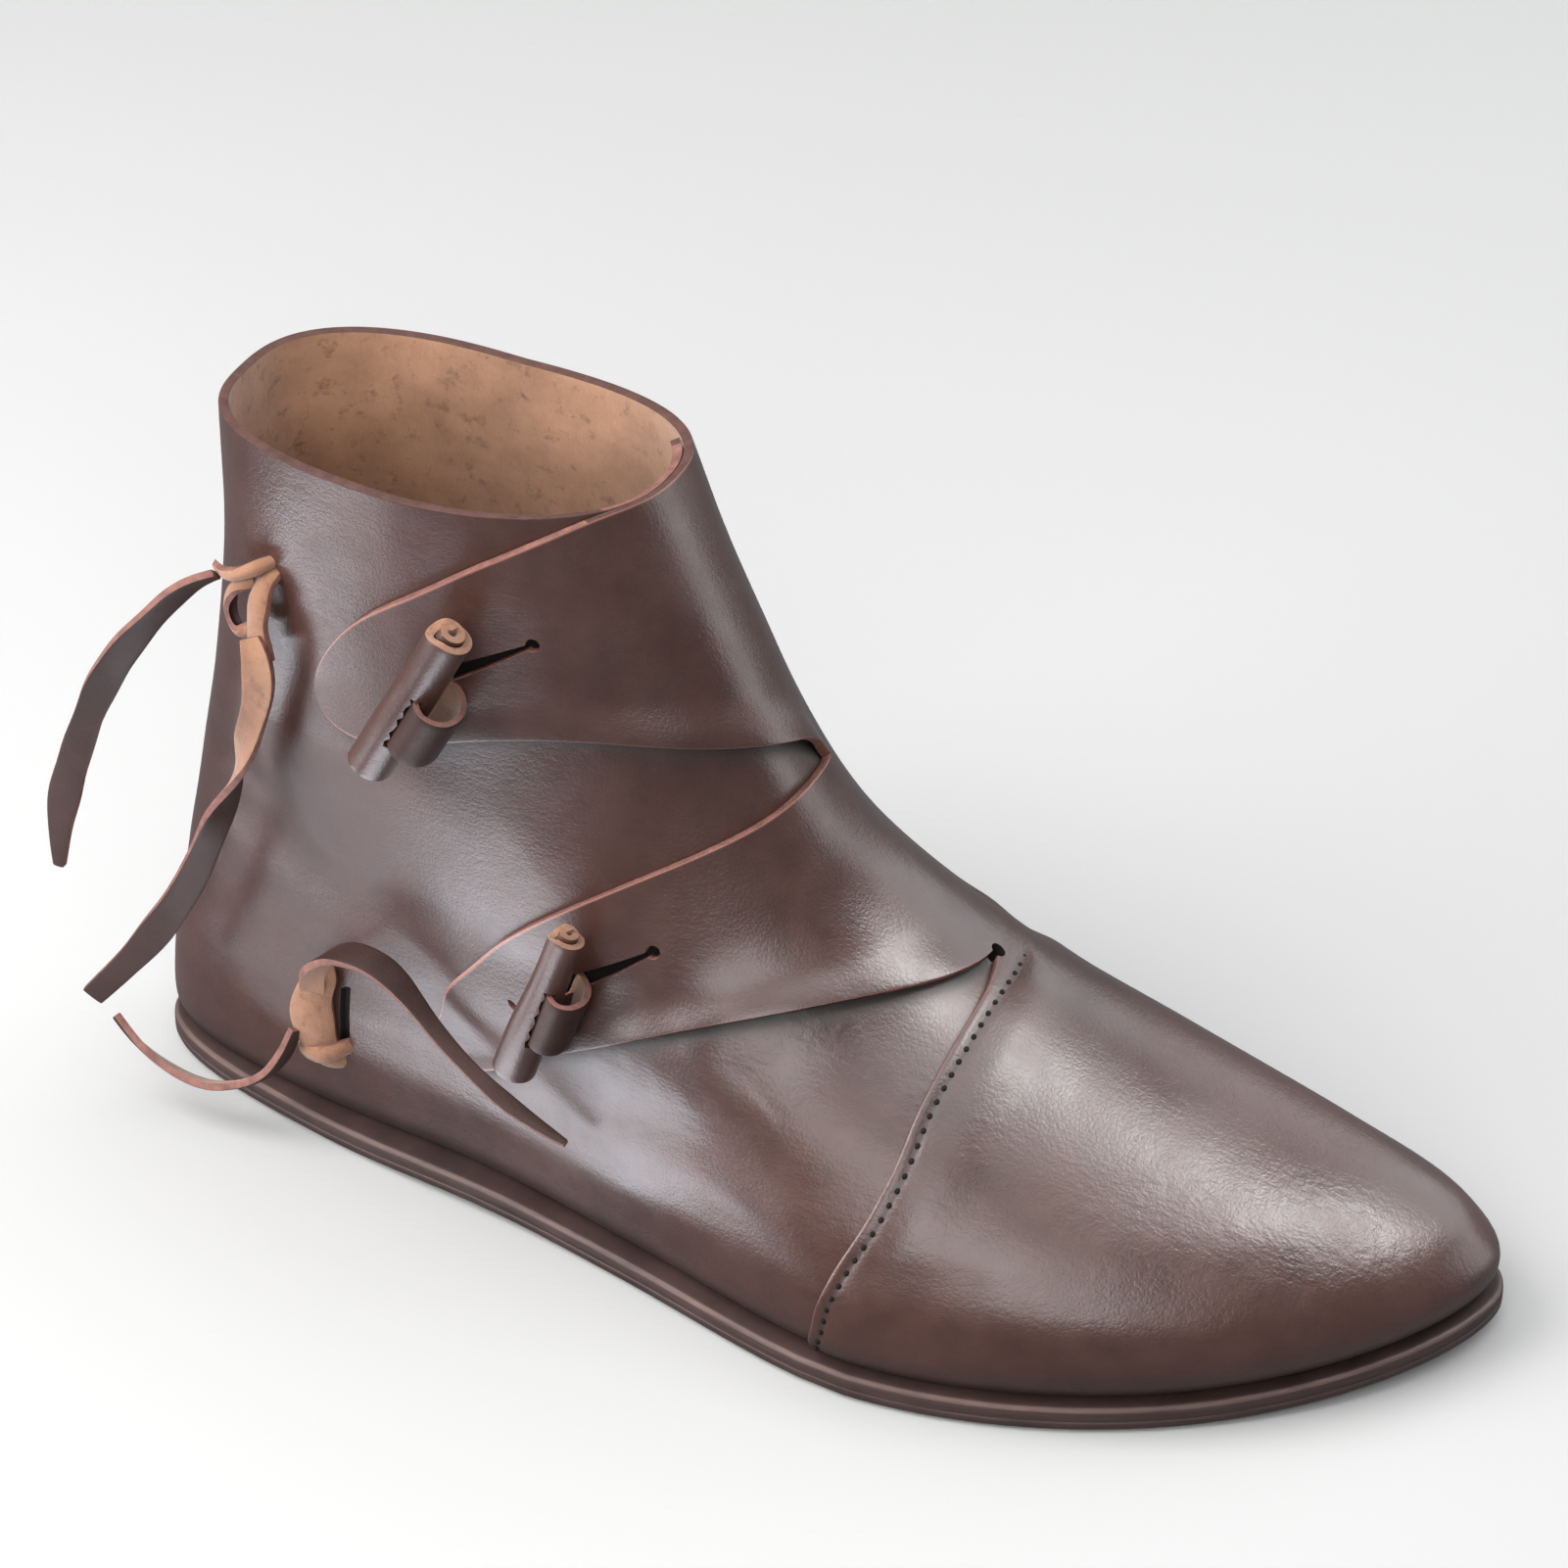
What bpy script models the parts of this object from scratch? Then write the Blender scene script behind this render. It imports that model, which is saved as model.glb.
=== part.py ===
"""A medieval ankle boot for the right foot, closed with two flaps and rolled leather toggles.

Frame: +X towards the toe, +Y towards the inner side of the foot, +Z up, floor at z = 0.
Sizes are in millimetres here and become metres when a mesh is made.
"""
import math
from collections import namedtuple

import bmesh
import bpy
import numpy as np

MM = 0.001

# Driving sizes of the boot
LENGTH = 290.0
BALL_WIDTH = 100.0
COLLAR_HEIGHT = 166.5
SOLE_THICKNESS = 5.7
GAP = 0.3
FEATHER = SOLE_THICKNESS + GAP
WALL = 2.0
FLAP = 2.0
TOE_SPRING = 3.0
TOE_SPRING_FROM = 95.0
ARCH_RISE = 1.2
ARCH_MIDDLE = -52.0
ARCH_REACH = 38.0
INNER_WAIST = 4.0
WAIST_PLACE = 0.45
WAIST_REACH = 0.2
WAIST_LOW = 10.0
WAIST_HIGH = 70.0
LEVEL_FROM = 90.0

# Sole and insole
LEDGE = 2.2
INSOLE_THICKNESS = 2.0
INSOLE_INSET = 5.2
SOLE_COLUMNS = 80

# Where the sole's ledge is wider or narrower: at the outer waist and behind the heel
Swell = namedtuple("Swell", "turn size reach")
LEDGE_SWELLS = (Swell(0.335, 1.5, 0.04), Swell(0.5, -1.2, 0.07))

# Rounded edge of the sole, from its underside to its top
EdgeRow = namedtuple("EdgeRow", "inset height")
SOLE_EDGE = (
    EdgeRow(1.6, 0.0),
    EdgeRow(0.5, 0.6),
    EdgeRow(0.0, 1.6),
    EdgeRow(0.0, SOLE_THICKNESS - 1.0),
    EdgeRow(0.8, SOLE_THICKNESS),
)

# The line where the vamp and the flaps lap over the outer quarter
SEAM_TOP_X = 50.0
SEAM_FOOT_X = 32.5
SEAM_TOP_HEIGHT = 66.0
SEAM_CURVE = 0.6
RIDGE_FROM = 52.0
RIDGE_AT = 84.0
LAP_TURN = -0.05
SEAM_STEP = 1.2
FULL_STEP_FROM = 48.0
FULL_STEP_AT = 68.0
DROP_FADES_FROM = 0.30
DROP_ENDS_AT = 0.48
LAP_MARGIN = 0.035
STEP_WIDTH = 0.0012
FLAP_CLEARANCE = 0.0050

# Toggles, knots and thongs
TOGGLE_RADIUS = 5.0
TOGGLE_BAND = 6.2
TOGGLE_BAND_LOW = 11.0
TOGGLE_BAND_HIGH = 21.0
TOGGLE_STAND = 1.0
SLIT_WIDTH = 2.0
SLIT_HOLE = 1.8
CUT_BELOW = -6.0
CUT_ABOVE = 12.0
NECK_WIDTH = 5.0
NECK_THICKNESS = 1.3
NECK_GAP = 0.5
KNOT_LENGTH = 11.0
KNOT_RADIUS = 3.0
KNOT_BAND = 4.6
KNOT_END = 2.5
ROLL_SOFT = 0.16
BAND_SOFT = 0.4
THONG_THICKNESS = 1.8
THONG_CORNER = 0.45
ROUND_SIDES = 16

# Horizontal sections. height: share of the way from feather line to collar. heel, toe, widest: x in
# percent of LENGTH. outer, inner: half widths, middle, tip: centre line's y at the widest place and at
# the front, all in percent of BALL_WIDTH. outer_heel, inner_heel: heel width as a share of the half
# width. nose, tail: roundness of the front and back ends, 2 for an ellipse.
Section = namedtuple(
    "Section", "height heel toe widest outer inner middle tip outer_heel inner_heel nose tail")
SECTIONS = (
    Section(0.0, -47.1, 51.7, 14.8, 48, 45, -6, 18, 0.62, 0.75, 1.80, 2.6),
    Section(4.4, -47.2, 52.1, 14.5, 50, 48, -6, 17, 0.62, 0.75, 1.88, 2.6),
    Section(10.0, -46.9, 50.3, 13.1, 50, 48, -6, 15, 0.64, 0.76, 1.95, 2.6),
    Section(16.9, -46.2, 44.5, 10.3, 48, 45, -5, 12, 0.67, 0.78, 1.95, 2.6),
    Section(23.7, -45.5, 35.2, 6.9, 44, 42, -4, 9, 0.72, 0.80, 1.95, 2.5),
    Section(31.2, -44.7, 24.5, 2.1, 40, 39, -3, 6, 0.79, 0.83, 1.95, 2.5),
    Section(39.8, -43.6, 14.8, -4.8, 36, 37, -2, 3, 0.87, 0.88, 2.00, 2.5),
    Section(49.9, -42.4, 7.9, -11.0, 34, 35, -2, 1, 0.94, 0.93, 2.05, 2.5),
    Section(61.1, -41.0, 3.8, -16.2, 33, 33, -2, -1, 1.00, 1.00, 2.15, 2.5),
    Section(73.6, -39.8, 0.7, -19.7, 32, 32, -3, -3, 1.00, 1.00, 2.20, 2.5),
    Section(87.3, -39.0, -2.8, -21.0, 31, 30, -4, -3, 1.00, 1.00, 2.25, 2.6),
    Section(100.0, -38.8, -5.9, -21.7, 31, 29, -5, -2, 1.00, 1.00, 2.30, 2.6),
)
HEEL_LEAN = -1.5
LEAN_FROM = 100.0

# Mesh rows of the upper: from, to, number of steps
RowBand = namedtuple("RowBand", "low high steps")
ROW_BANDS = (
    RowBand(FEATHER, 20.0, 3),
    RowBand(20.0, 50.0, 6),
    RowBand(50.0, 106.0, 12),
    RowBand(106.0, COLLAR_HEIGHT, 7),
)
UPPER_COLUMNS = 50
PAIR_ROOM = 0.3

# Flap stations from root to tip: turn and height of the lower edge, turn and height of the upper edge
Station = namedtuple("Station", "low_turn low high_turn high")
ANKLE_FLAP = (
    Station(-0.050, 104.0, -0.050, COLLAR_HEIGHT),
    Station(0.033, 115.7, 0.033, COLLAR_HEIGHT),
    Station(0.089, 119.5, 0.089, 166.0),
    Station(0.138, 121.0, 0.138, 162.2),
    Station(0.176, 120.5, 0.176, 159.0),
    Station(0.217, 118.5, 0.217, 154.5),
    Station(0.250, 114.2, 0.247, 147.0),
    Station(0.277, 110.6, 0.272, 136.0),
    Station(0.292, 110.4, 0.288, 128.5),
    Station(0.301, 113.0, 0.299, 123.0),
    Station(0.304, 116.3, 0.304, 119.3),
)
INSTEP_FLAP = (
    Station(-0.022, 69.5, -0.048, 101.0),
    Station(0.040, 70.8, 0.021, 103.5),
    Station(0.088, 71.4, 0.058, 102.7),
    Station(0.133, 71.3, 0.098, 100.8),
    Station(0.180, 69.6, 0.138, 98.0),
    Station(0.226, 66.0, 0.178, 94.0),
    Station(0.262, 58.6, 0.216, 88.3),
    Station(0.281, 51.5, 0.257, 79.0),
    Station(0.295, 45.2, 0.285, 66.8),
    Station(0.306, 40.2, 0.305, 56.5),
    Station(0.314, 37.4, 0.316, 48.0),
    Station(0.318, 39.6, 0.319, 43.0),
)
FLAP_LENGTH_STEPS = 30
FLAP_WIDTH_STEPS = 7

# Toggles: foot and head of the roll and the far end of the slit, each as turn and height on the flap,
# and the roll's length
ToggleSeat = namedtuple("ToggleSeat", "foot_turn foot head_turn head hole_turn hole length")
ANKLE_SEAT = ToggleSeat(0.276, 111.0, 0.214, 146.0, 0.176, 140.6, 39.0)
INSTEP_SEAT = ToggleSeat(0.293, 49.0, 0.240, 82.0, 0.201, 78.8, 36.5)

# Thong routes: centre of the strip, its width, and the roll of its flat side about the route
Point = namedtuple("Point", "x y z width roll")
ANKLE_TAIL_SHORT = (
    Point(-104.6, -28.6, 135.6, 5.0, 60),
    Point(-110.0, -31.0, 132.6, 5.5, 55),
    Point(-117.0, -32.5, 125.0, 6.0, 45),
    Point(-124.5, -33.0, 115.0, 6.5, 35),
    Point(-131.0, -32.5, 104.0, 6.5, 25),
    Point(-136.5, -31.5, 92.0, 6.5, 15),
    Point(-141.0, -31.0, 80.0, 6.5, 5),
    Point(-145.0, -30.0, 67.0, 6.0, 0),
    Point(-146.5, -30.0, 54.0, 2.5, 0),
)
ANKLE_TAIL_LONG = (
    Point(-94.9, -33.3, 126.4, 4.6, 0),
    Point(-93.2, -34.3, 121.0, 6.5, 0),
    Point(-94.3, -33.8, 111.5, 6.5, 10),
    Point(-98.0, -33.0, 100.0, 6.5, 30),
    Point(-102.0, -32.0, 89.0, 6.5, 45),
    Point(-107.5, -32.0, 76.0, 6.5, 40),
    Point(-113.0, -32.0, 63.0, 6.5, 30),
    Point(-120.0, -32.0, 50.5, 6.5, 20),
    Point(-128.5, -31.5, 38.0, 6.0, 10),
    Point(-140.5, -31.0, 23.0, 2.5, 10),
)
HEEL_TAIL_SHORT = (
    Point(-92.1, -30.7, 29.7, 5.0, 20),
    Point(-94.6, -31.8, 23.0, 5.0, 50),
    Point(-98.8, -32.6, 17.0, 5.0, 70),
    Point(-105.0, -33.0, 12.6, 5.0, 65),
    Point(-113.5, -33.0, 9.8, 5.0, 60),
    Point(-123.0, -32.0, 10.6, 5.0, 50),
    Point(-130.5, -31.0, 13.8, 4.5, 40),
    Point(-136.0, -30.0, 18.5, 2.0, 30),
)
HEEL_TAIL_LONG = (
    Point(-87.3, -31.0, 41.4, 5.0, 20),
    Point(-86.0, -33.0, 46.8, 5.0, 60),
    Point(-83.0, -35.2, 52.5, 5.0, 80),
    Point(-78.5, -36.0, 56.5, 5.5, 75),
    Point(-72.5, -36.0, 57.5, 6.0, 60),
    Point(-65.0, -36.5, 55.0, 6.5, 35),
    Point(-57.0, -38.0, 48.5, 6.5, 15),
    Point(-49.0, -40.0, 43.0, 6.5, 5),
    Point(-40.0, -42.0, 38.5, 6.0, 0),
    Point(-31.5, -43.5, 35.5, 5.0, 0),
    Point(-23.0, -44.5, 33.0, 2.0, 0),
)
THONG_RINGS = 17

# Knots: two ends of the wrapped roll on the quarter, each as turn and height
KnotSeat = namedtuple("KnotSeat", "low_turn low high_turn high stand")
ANKLE_KNOT = KnotSeat(0.345, 129.0, 0.372, 134.5, 5.0)
HEEL_KNOT = KnotSeat(0.369, 28.5, 0.361, 41.5, 5.0)

# Colours and roughness of the leathers
LEATHER = (0.066, 0.033, 0.029, 1.0)
QUARTER_ROUGHNESS = 0.42
SOLE_COLOUR = (0.052, 0.028, 0.026, 1.0)
SOLE_ROUGHNESS = 0.6
FLESH = (0.36, 0.17, 0.085, 1.0)
FLESH_ROUGHNESS = 0.85


# Curves through tables

def slopes(places, values):
    """Slopes of a curve through the values that doesn't overshoot them."""
    steps = np.diff(places)
    rises = np.diff(values) / steps
    result = np.zeros(len(values))
    result[0] = rises[0]
    result[-1] = rises[-1]
    for k in range(1, len(values) - 1):
        before = rises[k - 1]
        after = rises[k]
        if before * after > 0:
            first = 2 * steps[k] + steps[k - 1]
            second = steps[k] + 2 * steps[k - 1]
            result[k] = (first + second) / (first / before + second / after)
    return result


def through(places, values, at):
    """Read a smooth curve through the values at the given places."""
    places = np.asarray(places, float)
    values = np.asarray(values, float)
    slope = slopes(places, values)
    k = np.clip(np.searchsorted(places, at, side="right") - 1, 0, len(places) - 2)
    step = places[k + 1] - places[k]
    s = (at - places[k]) / step
    start = (1 + 2 * s) * (1 - s) ** 2 * values[k] + s * (1 - s) ** 2 * step * slope[k]
    end = s * s * (3 - 2 * s) * values[k + 1] + s * s * (s - 1) * step * slope[k + 1]
    return start + end


def along(rows, count):
    """Read all columns of a table at evenly spaced places from its first row to its last."""
    places = np.arange(len(rows), dtype=float)
    at = np.linspace(0, len(rows) - 1, count)
    return np.stack([through(places, column, at) for column in zip(*rows)], axis=1)


def ease(value, low, high):
    """0 below low, 1 above high, smooth between."""
    s = np.clip((value - low) / (high - low), 0, 1)
    return s * s * (3 - 2 * s)


# The form of the foot

def section(z):
    """All columns of the section table at height z, in millimetres."""
    scales = dict.fromkeys(("heel", "toe", "widest"), LENGTH / 100)
    scales.update(dict.fromkeys(("outer", "inner", "middle", "tip"), BALL_WIDTH / 100))
    heights = [FEATHER + row.height / 100 * (COLLAR_HEIGHT - FEATHER) for row in SECTIONS]
    columns = zip(Section._fields, zip(*SECTIONS))
    read = {name: through(heights, values, z) * scales.get(name, 1.0) for name, values in columns}
    return Section(**read)


def lift(x):
    """Rise of the sole above the floor: the arch and the toe spring."""
    toe = TOE_SPRING * np.clip((x - TOE_SPRING_FROM) / (LENGTH / 2 - TOE_SPRING_FROM), 0, 1.2) ** 2
    reach = np.clip((x - ARCH_MIDDLE) / ARCH_REACH, -1, 1)
    return toe + ARCH_RISE * np.cos(reach * math.pi / 2) ** 2


def skin(z, turn):
    """The boot's outside at height z. turn: 0 at the front, 0.25 outer side, 0.5 heel, 0.75 inner side."""
    z, turn = np.broadcast_arrays(np.asarray(z, float), np.asarray(turn, float))
    row = section(z)
    cosine = np.cos(2 * math.pi * turn)
    sine = np.sin(2 * math.pi * turn)
    front = cosine >= 0
    outer = sine >= 0
    power = 2 / np.where(front, row.nose, row.tail)
    forward = np.sign(cosine) * np.abs(cosine) ** power
    x = row.widest + forward * np.where(front, row.toe - row.widest, row.widest - row.heel)
    to_heel = np.clip(-forward, 0, 1)
    to_toe = np.clip(forward, 0, 1)
    heel_share = np.where(outer, row.outer_heel, row.inner_heel)
    narrowing = 1 - (1 - heel_share) * (1 - (1 - to_heel) ** 5 * (1 + 5 * to_heel))
    half = np.where(outer, row.outer, row.inner) * np.abs(sine) ** power * narrowing
    low_down = np.clip((WAIST_HIGH - z) / (WAIST_HIGH - WAIST_LOW), 0, 1)
    waist = np.exp(-((to_heel - WAIST_PLACE) / WAIST_REACH) ** 2) * low_down
    half = half - np.where(outer | front, 0, INNER_WAIST * waist)
    heel_y = HEEL_LEAN * np.clip((z - LEAN_FROM) / (COLLAR_HEIGHT - LEAN_FROM), 0, 1)
    centre = row.middle + (heel_y - row.middle) * to_heel + (row.tip - row.middle) * to_toe ** 2
    y = centre - np.where(outer, half, -half)
    level = np.clip(1 - z / LEVEL_FROM, 0, 1)
    return np.stack([x, y, z + lift(x) * level], axis=-1)


def outward(z, turn):
    """Unit normal of the skin, pointing out of the boot."""
    small_turn = 0.002
    small_rise = 0.4
    low = np.clip(z - small_rise, FEATHER, COLLAR_HEIGHT)
    high = np.clip(z + small_rise, FEATHER, COLLAR_HEIGHT)
    across = skin(z, turn + small_turn) - skin(z, turn - small_turn)
    up = skin(high, turn) - skin(low, turn)
    normal = np.cross(up, across)
    return normal / np.linalg.norm(normal, axis=-1, keepdims=True)


# The lap of vamp and flaps over the outer quarter

def seam_turn(z):
    """Turn of the lap line: across the vamp's outer side, then up the front to the collar."""
    row = section(z)
    climb = np.clip((z - FEATHER) / (SEAM_TOP_HEIGHT - FEATHER), 0, 1) ** SEAM_CURVE
    x = SEAM_FOOT_X + (SEAM_TOP_X - SEAM_FOOT_X) * climb
    ahead = np.clip((x - row.widest) / (row.toe - row.widest), 0, 1)
    behind = np.clip((row.widest - x) / (row.widest - row.heel), 0, 1)
    front = np.arccos(ahead ** (row.nose / 2)) / (2 * math.pi)
    back = 0.25 + np.arcsin(behind ** (row.tail / 2)) / (2 * math.pi)
    seam = np.where(x >= row.widest, front, back)
    return seam + LAP_TURN * ease(z, RIDGE_FROM, RIDGE_AT)


def turn_at(column, z):
    """Turn of a mesh column. Column 0 is the lap line, -0.5 and 0.5 are the heel."""
    return column + seam_turn(z) * (1 - np.abs(2 * column))


def column_at(turn, z):
    """Mesh column of a turn on the outer side."""
    seam = seam_turn(z)
    return (turn - seam) / (1 - 2 * seam)


def quarter_drop(column, z):
    """How far the outer quarter lies below the skin, so that the flaps over it end flush with the front."""
    step = SEAM_STEP + (FLAP + GAP - SEAM_STEP) * ease(z, FULL_STEP_FROM, FULL_STEP_AT)
    return step * (1 - ease(column, DROP_FADES_FROM, DROP_ENDS_AT))


def upper_face(z, column, inner):
    """Outer or inner face of the upper's wall. Under the lap both layers make one thick wall."""
    turn = turn_at(column, z)
    edge = -LAP_MARGIN if inner else 0.0
    depth = np.where(column > edge, quarter_drop(np.maximum(column, 0), z), 0.0)
    if inner:
        depth = depth + WALL
    return skin(z, turn) - outward(z, turn) * depth[..., None]


def over_quarter(turn, z, stand):
    """A point that stands off the outer quarter, and the direction out of it."""
    turn = np.asarray(turn, float)
    z = np.asarray(z, float)
    normal = outward(z, turn)
    drop = quarter_drop(column_at(turn, z), z)
    return skin(z, turn) + normal * (stand - drop)[..., None], normal


# Meshes

def leather(name, colour, roughness):
    material = bpy.data.materials.new(name)
    material.use_nodes = True
    shader = material.node_tree.nodes["Principled BSDF"]
    shader.inputs["Base Color"].default_value = colour
    shader.inputs["Roughness"].default_value = roughness
    shader.inputs["Metallic"].default_value = 0.0
    return material


def add_part(name, points, faces, material):
    """Make one named object from points in millimetres."""
    mesh = bpy.data.meshes.new(name)
    mesh.from_pydata((np.asarray(points) * MM).tolist(), [], faces)
    work = bmesh.new()
    work.from_mesh(mesh)
    bmesh.ops.recalc_face_normals(work, faces=work.faces)
    work.to_mesh(mesh)
    work.free()
    mesh.shade_smooth()
    mesh.set_sharp_from_angle(angle=math.radians(40))
    mesh.materials.append(material)
    part = bpy.data.objects.new(name, mesh)
    bpy.context.collection.objects.link(part)
    return part


def slab(outer, inner, closed):
    """Points and faces of a wall between two grids. A closed wall runs round along its columns."""
    rows, columns = outer.shape[:2]
    points = np.concatenate([outer.reshape(-1, 3), inner.reshape(-1, 3)])
    back = rows * columns
    faces = []
    spans = columns if closed else columns - 1
    for c in range(spans):
        d = (c + 1) % columns
        for r in range(rows - 1):
            a = r * columns
            b = a + columns
            faces.append((a + c, a + d, b + d, b + c))
            faces.append((back + a + c, back + b + c, back + b + d, back + a + d))
        top = (rows - 1) * columns
        faces.append((c, back + c, back + d, d))
        faces.append((top + c, top + d, back + top + d, back + top + c))
    if not closed:
        for r in range(rows - 1):
            a = r * columns
            b = a + columns
            last = columns - 1
            faces.append((a, b, back + b, back + a))
            faces.append((a + last, back + a + last, back + b + last, b + last))
    return points, faces


def ring_stack(rings, ladder):
    """Points and faces of a solid through rings. A ladder closes its ends with rungs from side to side."""
    count, sides = rings.shape[:2]
    faces = []
    for r in range(count - 1):
        a = r * sides
        b = a + sides
        for c in range(sides):
            d = (c + 1) % sides
            faces.append((a + c, a + d, b + d, b + c))
    for start in (0, (count - 1) * sides):
        if ladder:
            half = sides // 2
            faces.append((start, start + 1, start + sides - 1))
            faces.append((start + half - 1, start + half, start + half + 1))
            for c in range(1, half - 1):
                faces.append((start + c, start + c + 1, start + sides - c - 1, start + sides - c))
        else:
            faces.append(tuple(range(start, start + sides)))
    return rings.reshape(-1, 3), faces


# Sole, insole and upper

def plan_ring(offset, z):
    """The feather line's outline in plan, moved outwards, at height z over the lifted floor."""
    turn = np.arange(SOLE_COLUMNS) / SOLE_COLUMNS
    step = 0.003
    outline = skin(FEATHER, turn)
    tangent = skin(FEATHER, turn + step) - skin(FEATHER, turn - step)
    normal = np.stack([-tangent[:, 1], tangent[:, 0]], axis=1)
    normal = normal / np.linalg.norm(normal, axis=1, keepdims=True)
    plan = outline[:, :2] + normal * np.broadcast_to(offset, turn.shape)[:, None]
    level = 1 - FEATHER / LEVEL_FROM
    return np.column_stack([plan, z + lift(plan[:, 0]) * level])


def make_outsole(material):
    turn = np.arange(SOLE_COLUMNS) / SOLE_COLUMNS
    ledge = np.full(SOLE_COLUMNS, LEDGE)
    for swell in LEDGE_SWELLS:
        ledge += swell.size * np.exp(-((turn - swell.turn) / swell.reach) ** 2)
    rings = np.stack([plan_ring(ledge - row.inset, row.height) for row in SOLE_EDGE])
    return add_part("outsole", *ring_stack(rings, True), material)


def make_insole(material):
    heights = (FEATHER, FEATHER + INSOLE_THICKNESS)
    rings = np.stack([plan_ring(-INSOLE_INSET, z) for z in heights])
    return add_part("insole", *ring_stack(rings, True), material)


def upper_columns():
    """Even columns, with a close pair on each side of the lap line outside and inside."""
    even = np.arange(UPPER_COLUMNS) / UPPER_COLUMNS - 0.5 + 0.5 / UPPER_COLUMNS
    pairs = [edge + side for edge in (0.0, -LAP_MARGIN) for side in (-STEP_WIDTH, STEP_WIDTH)]
    room = PAIR_ROOM / UPPER_COLUMNS
    spaced = [c for c in even if min(abs(c), abs(c + LAP_MARGIN)) > room]
    return np.array(sorted(spaced + pairs))


def make_upper(material):
    bands = [np.linspace(band.low, band.high, band.steps, endpoint=False) for band in ROW_BANDS]
    heights = np.append(np.concatenate(bands), COLLAR_HEIGHT)
    z, column = np.meshgrid(heights, upper_columns(), indexing="ij")
    outer = upper_face(z, column, False)
    inner = upper_face(z, column, True)
    for rim in (0, -1):
        inner[rim, :, 2] = outer[rim, :, 2]
    return add_part("upper", *slab(outer, inner, True), material)


# Flaps with their slits

def make_flap(name, stations, seat, material):
    rows = along(stations, FLAP_LENGTH_STEPS)
    share = np.linspace(0, 1, FLAP_WIDTH_STEPS + 1)
    turn = rows[:, :1] + (rows[:, 2:3] - rows[:, :1]) * share
    z = rows[:, 1:2] + (rows[:, 3:4] - rows[:, 1:2]) * share
    turn = np.maximum(turn, seam_turn(z) + STEP_WIDTH + FLAP_CLEARANCE)
    outer = over_quarter(turn, z, GAP + FLAP)[0]
    inner = over_quarter(turn, z, GAP)[0]
    flap = add_part(name, *slab(outer, inner, False), material)
    cut = flap.modifiers.new("slit", "BOOLEAN")
    cut.operation = "DIFFERENCE"
    cut.object = make_slit(name + "_slit", seat, material)
    return flap


def frame_on(centre, axis, normal):
    """Right-handed frame at a centre: along the axis, across it, and close to the normal."""
    axis = axis / np.linalg.norm(axis)
    across = np.cross(normal, axis)
    across = across / np.linalg.norm(across)
    return centre, axis, across, np.cross(axis, across)


def prism(frame, outline, low, high):
    """Rings of a straight prism: an outline in the frame's plane, from low to high along its normal."""
    centre, axis, across, normal = frame
    flat = centre + outline[:, :1] * axis + outline[:, 1:] * across
    return np.stack([flat + normal * low, flat + normal * high])


def toggle_frame(seat):
    """Frame of a toggle: the middle of its seat on the quarter, the roll's axis and the way out."""
    middle_turn = (seat.foot_turn + seat.head_turn) / 2
    turns = [seat.foot_turn, middle_turn, seat.head_turn]
    heights = [seat.foot, (seat.foot + seat.head) / 2, seat.head]
    places, normals = over_quarter(turns, heights, 0.0)
    return frame_on(places[1], places[2] - places[0], normals[1])


def make_slit(name, seat, material):
    """Cutter for the slit: a keyhole from under the toggle to a round hole."""
    centre = toggle_frame(seat)[0]
    hole, normal = over_quarter([seat.hole_turn], [seat.hole], 0.0)
    frame = frame_on(hole[0], centre - hole[0], normal[0])
    length = np.linalg.norm(centre - hole[0]) + NECK_WIDTH
    half = SLIT_WIDTH / 2
    start = math.asin(half / SLIT_HOLE)
    turns = np.linspace(start, 2 * math.pi - start, ROUND_SIDES)
    rim = np.column_stack([np.cos(turns), np.sin(turns)]) * SLIT_HOLE
    outline = np.concatenate([rim, [(length, -half), (length, half)]])
    rings = prism(frame, outline, CUT_BELOW, CUT_ABOVE)
    cutter = add_part(name, *ring_stack(rings, False), material)
    cutter.hide_render = True
    cutter.display_type = "WIRE"
    return cutter


# Toggles and knots

def wrapped_roll(frame, stand, length, radius, band, band_low, band_high):
    """Rings of a roll along the frame's axis with a thicker band wrapped round it."""
    centre, axis, across, normal = frame
    soft = ROLL_SOFT * radius
    profile = (
        (0.0, radius - soft), (soft, radius), (band_low, radius), (band_low + BAND_SOFT, band),
        (band_high - BAND_SOFT, band), (band_high, radius), (length - soft, radius), (length, radius - soft),
    )
    angle = np.arange(ROUND_SIDES) * 2 * math.pi / ROUND_SIDES
    circle = np.cos(angle)[:, None] * across + np.sin(angle)[:, None] * normal
    middle = centre + normal * stand
    return np.stack([middle + axis * (place - length / 2) + circle * size for place, size in profile])


def make_toggle(name, seat, material):
    frame = toggle_frame(seat)
    stand = GAP + FLAP + TOGGLE_STAND + TOGGLE_BAND
    rings = wrapped_roll(frame, stand, seat.length, TOGGLE_RADIUS, TOGGLE_BAND,
                         TOGGLE_BAND_LOW, TOGGLE_BAND_HIGH)
    toggle = add_part(name, *ring_stack(rings, False), material)
    join = toggle.modifiers.new("neck", "BOOLEAN")
    join.operation = "UNION"
    join.object = make_neck(name + "_neck", seat, stand, material)
    return toggle


def make_neck(name, seat, stand, material):
    """The strip's end that ties the roll to the quarter through the slit."""
    centre, _, _, normal = toggle_frame(seat)
    hole = over_quarter([seat.hole_turn], [seat.hole], 0.0)[0][0]
    frame = frame_on(centre, centre - hole, normal)
    w = NECK_WIDTH / 2
    t = NECK_THICKNESS / 2
    outline = np.array([(-w, -t), (w, -t), (w, t), (-w, t)])
    rings = prism(frame, outline, NECK_GAP, stand)
    neck = add_part(name, *ring_stack(rings, False), material)
    neck.hide_render = True
    neck.display_type = "WIRE"
    return neck


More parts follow.
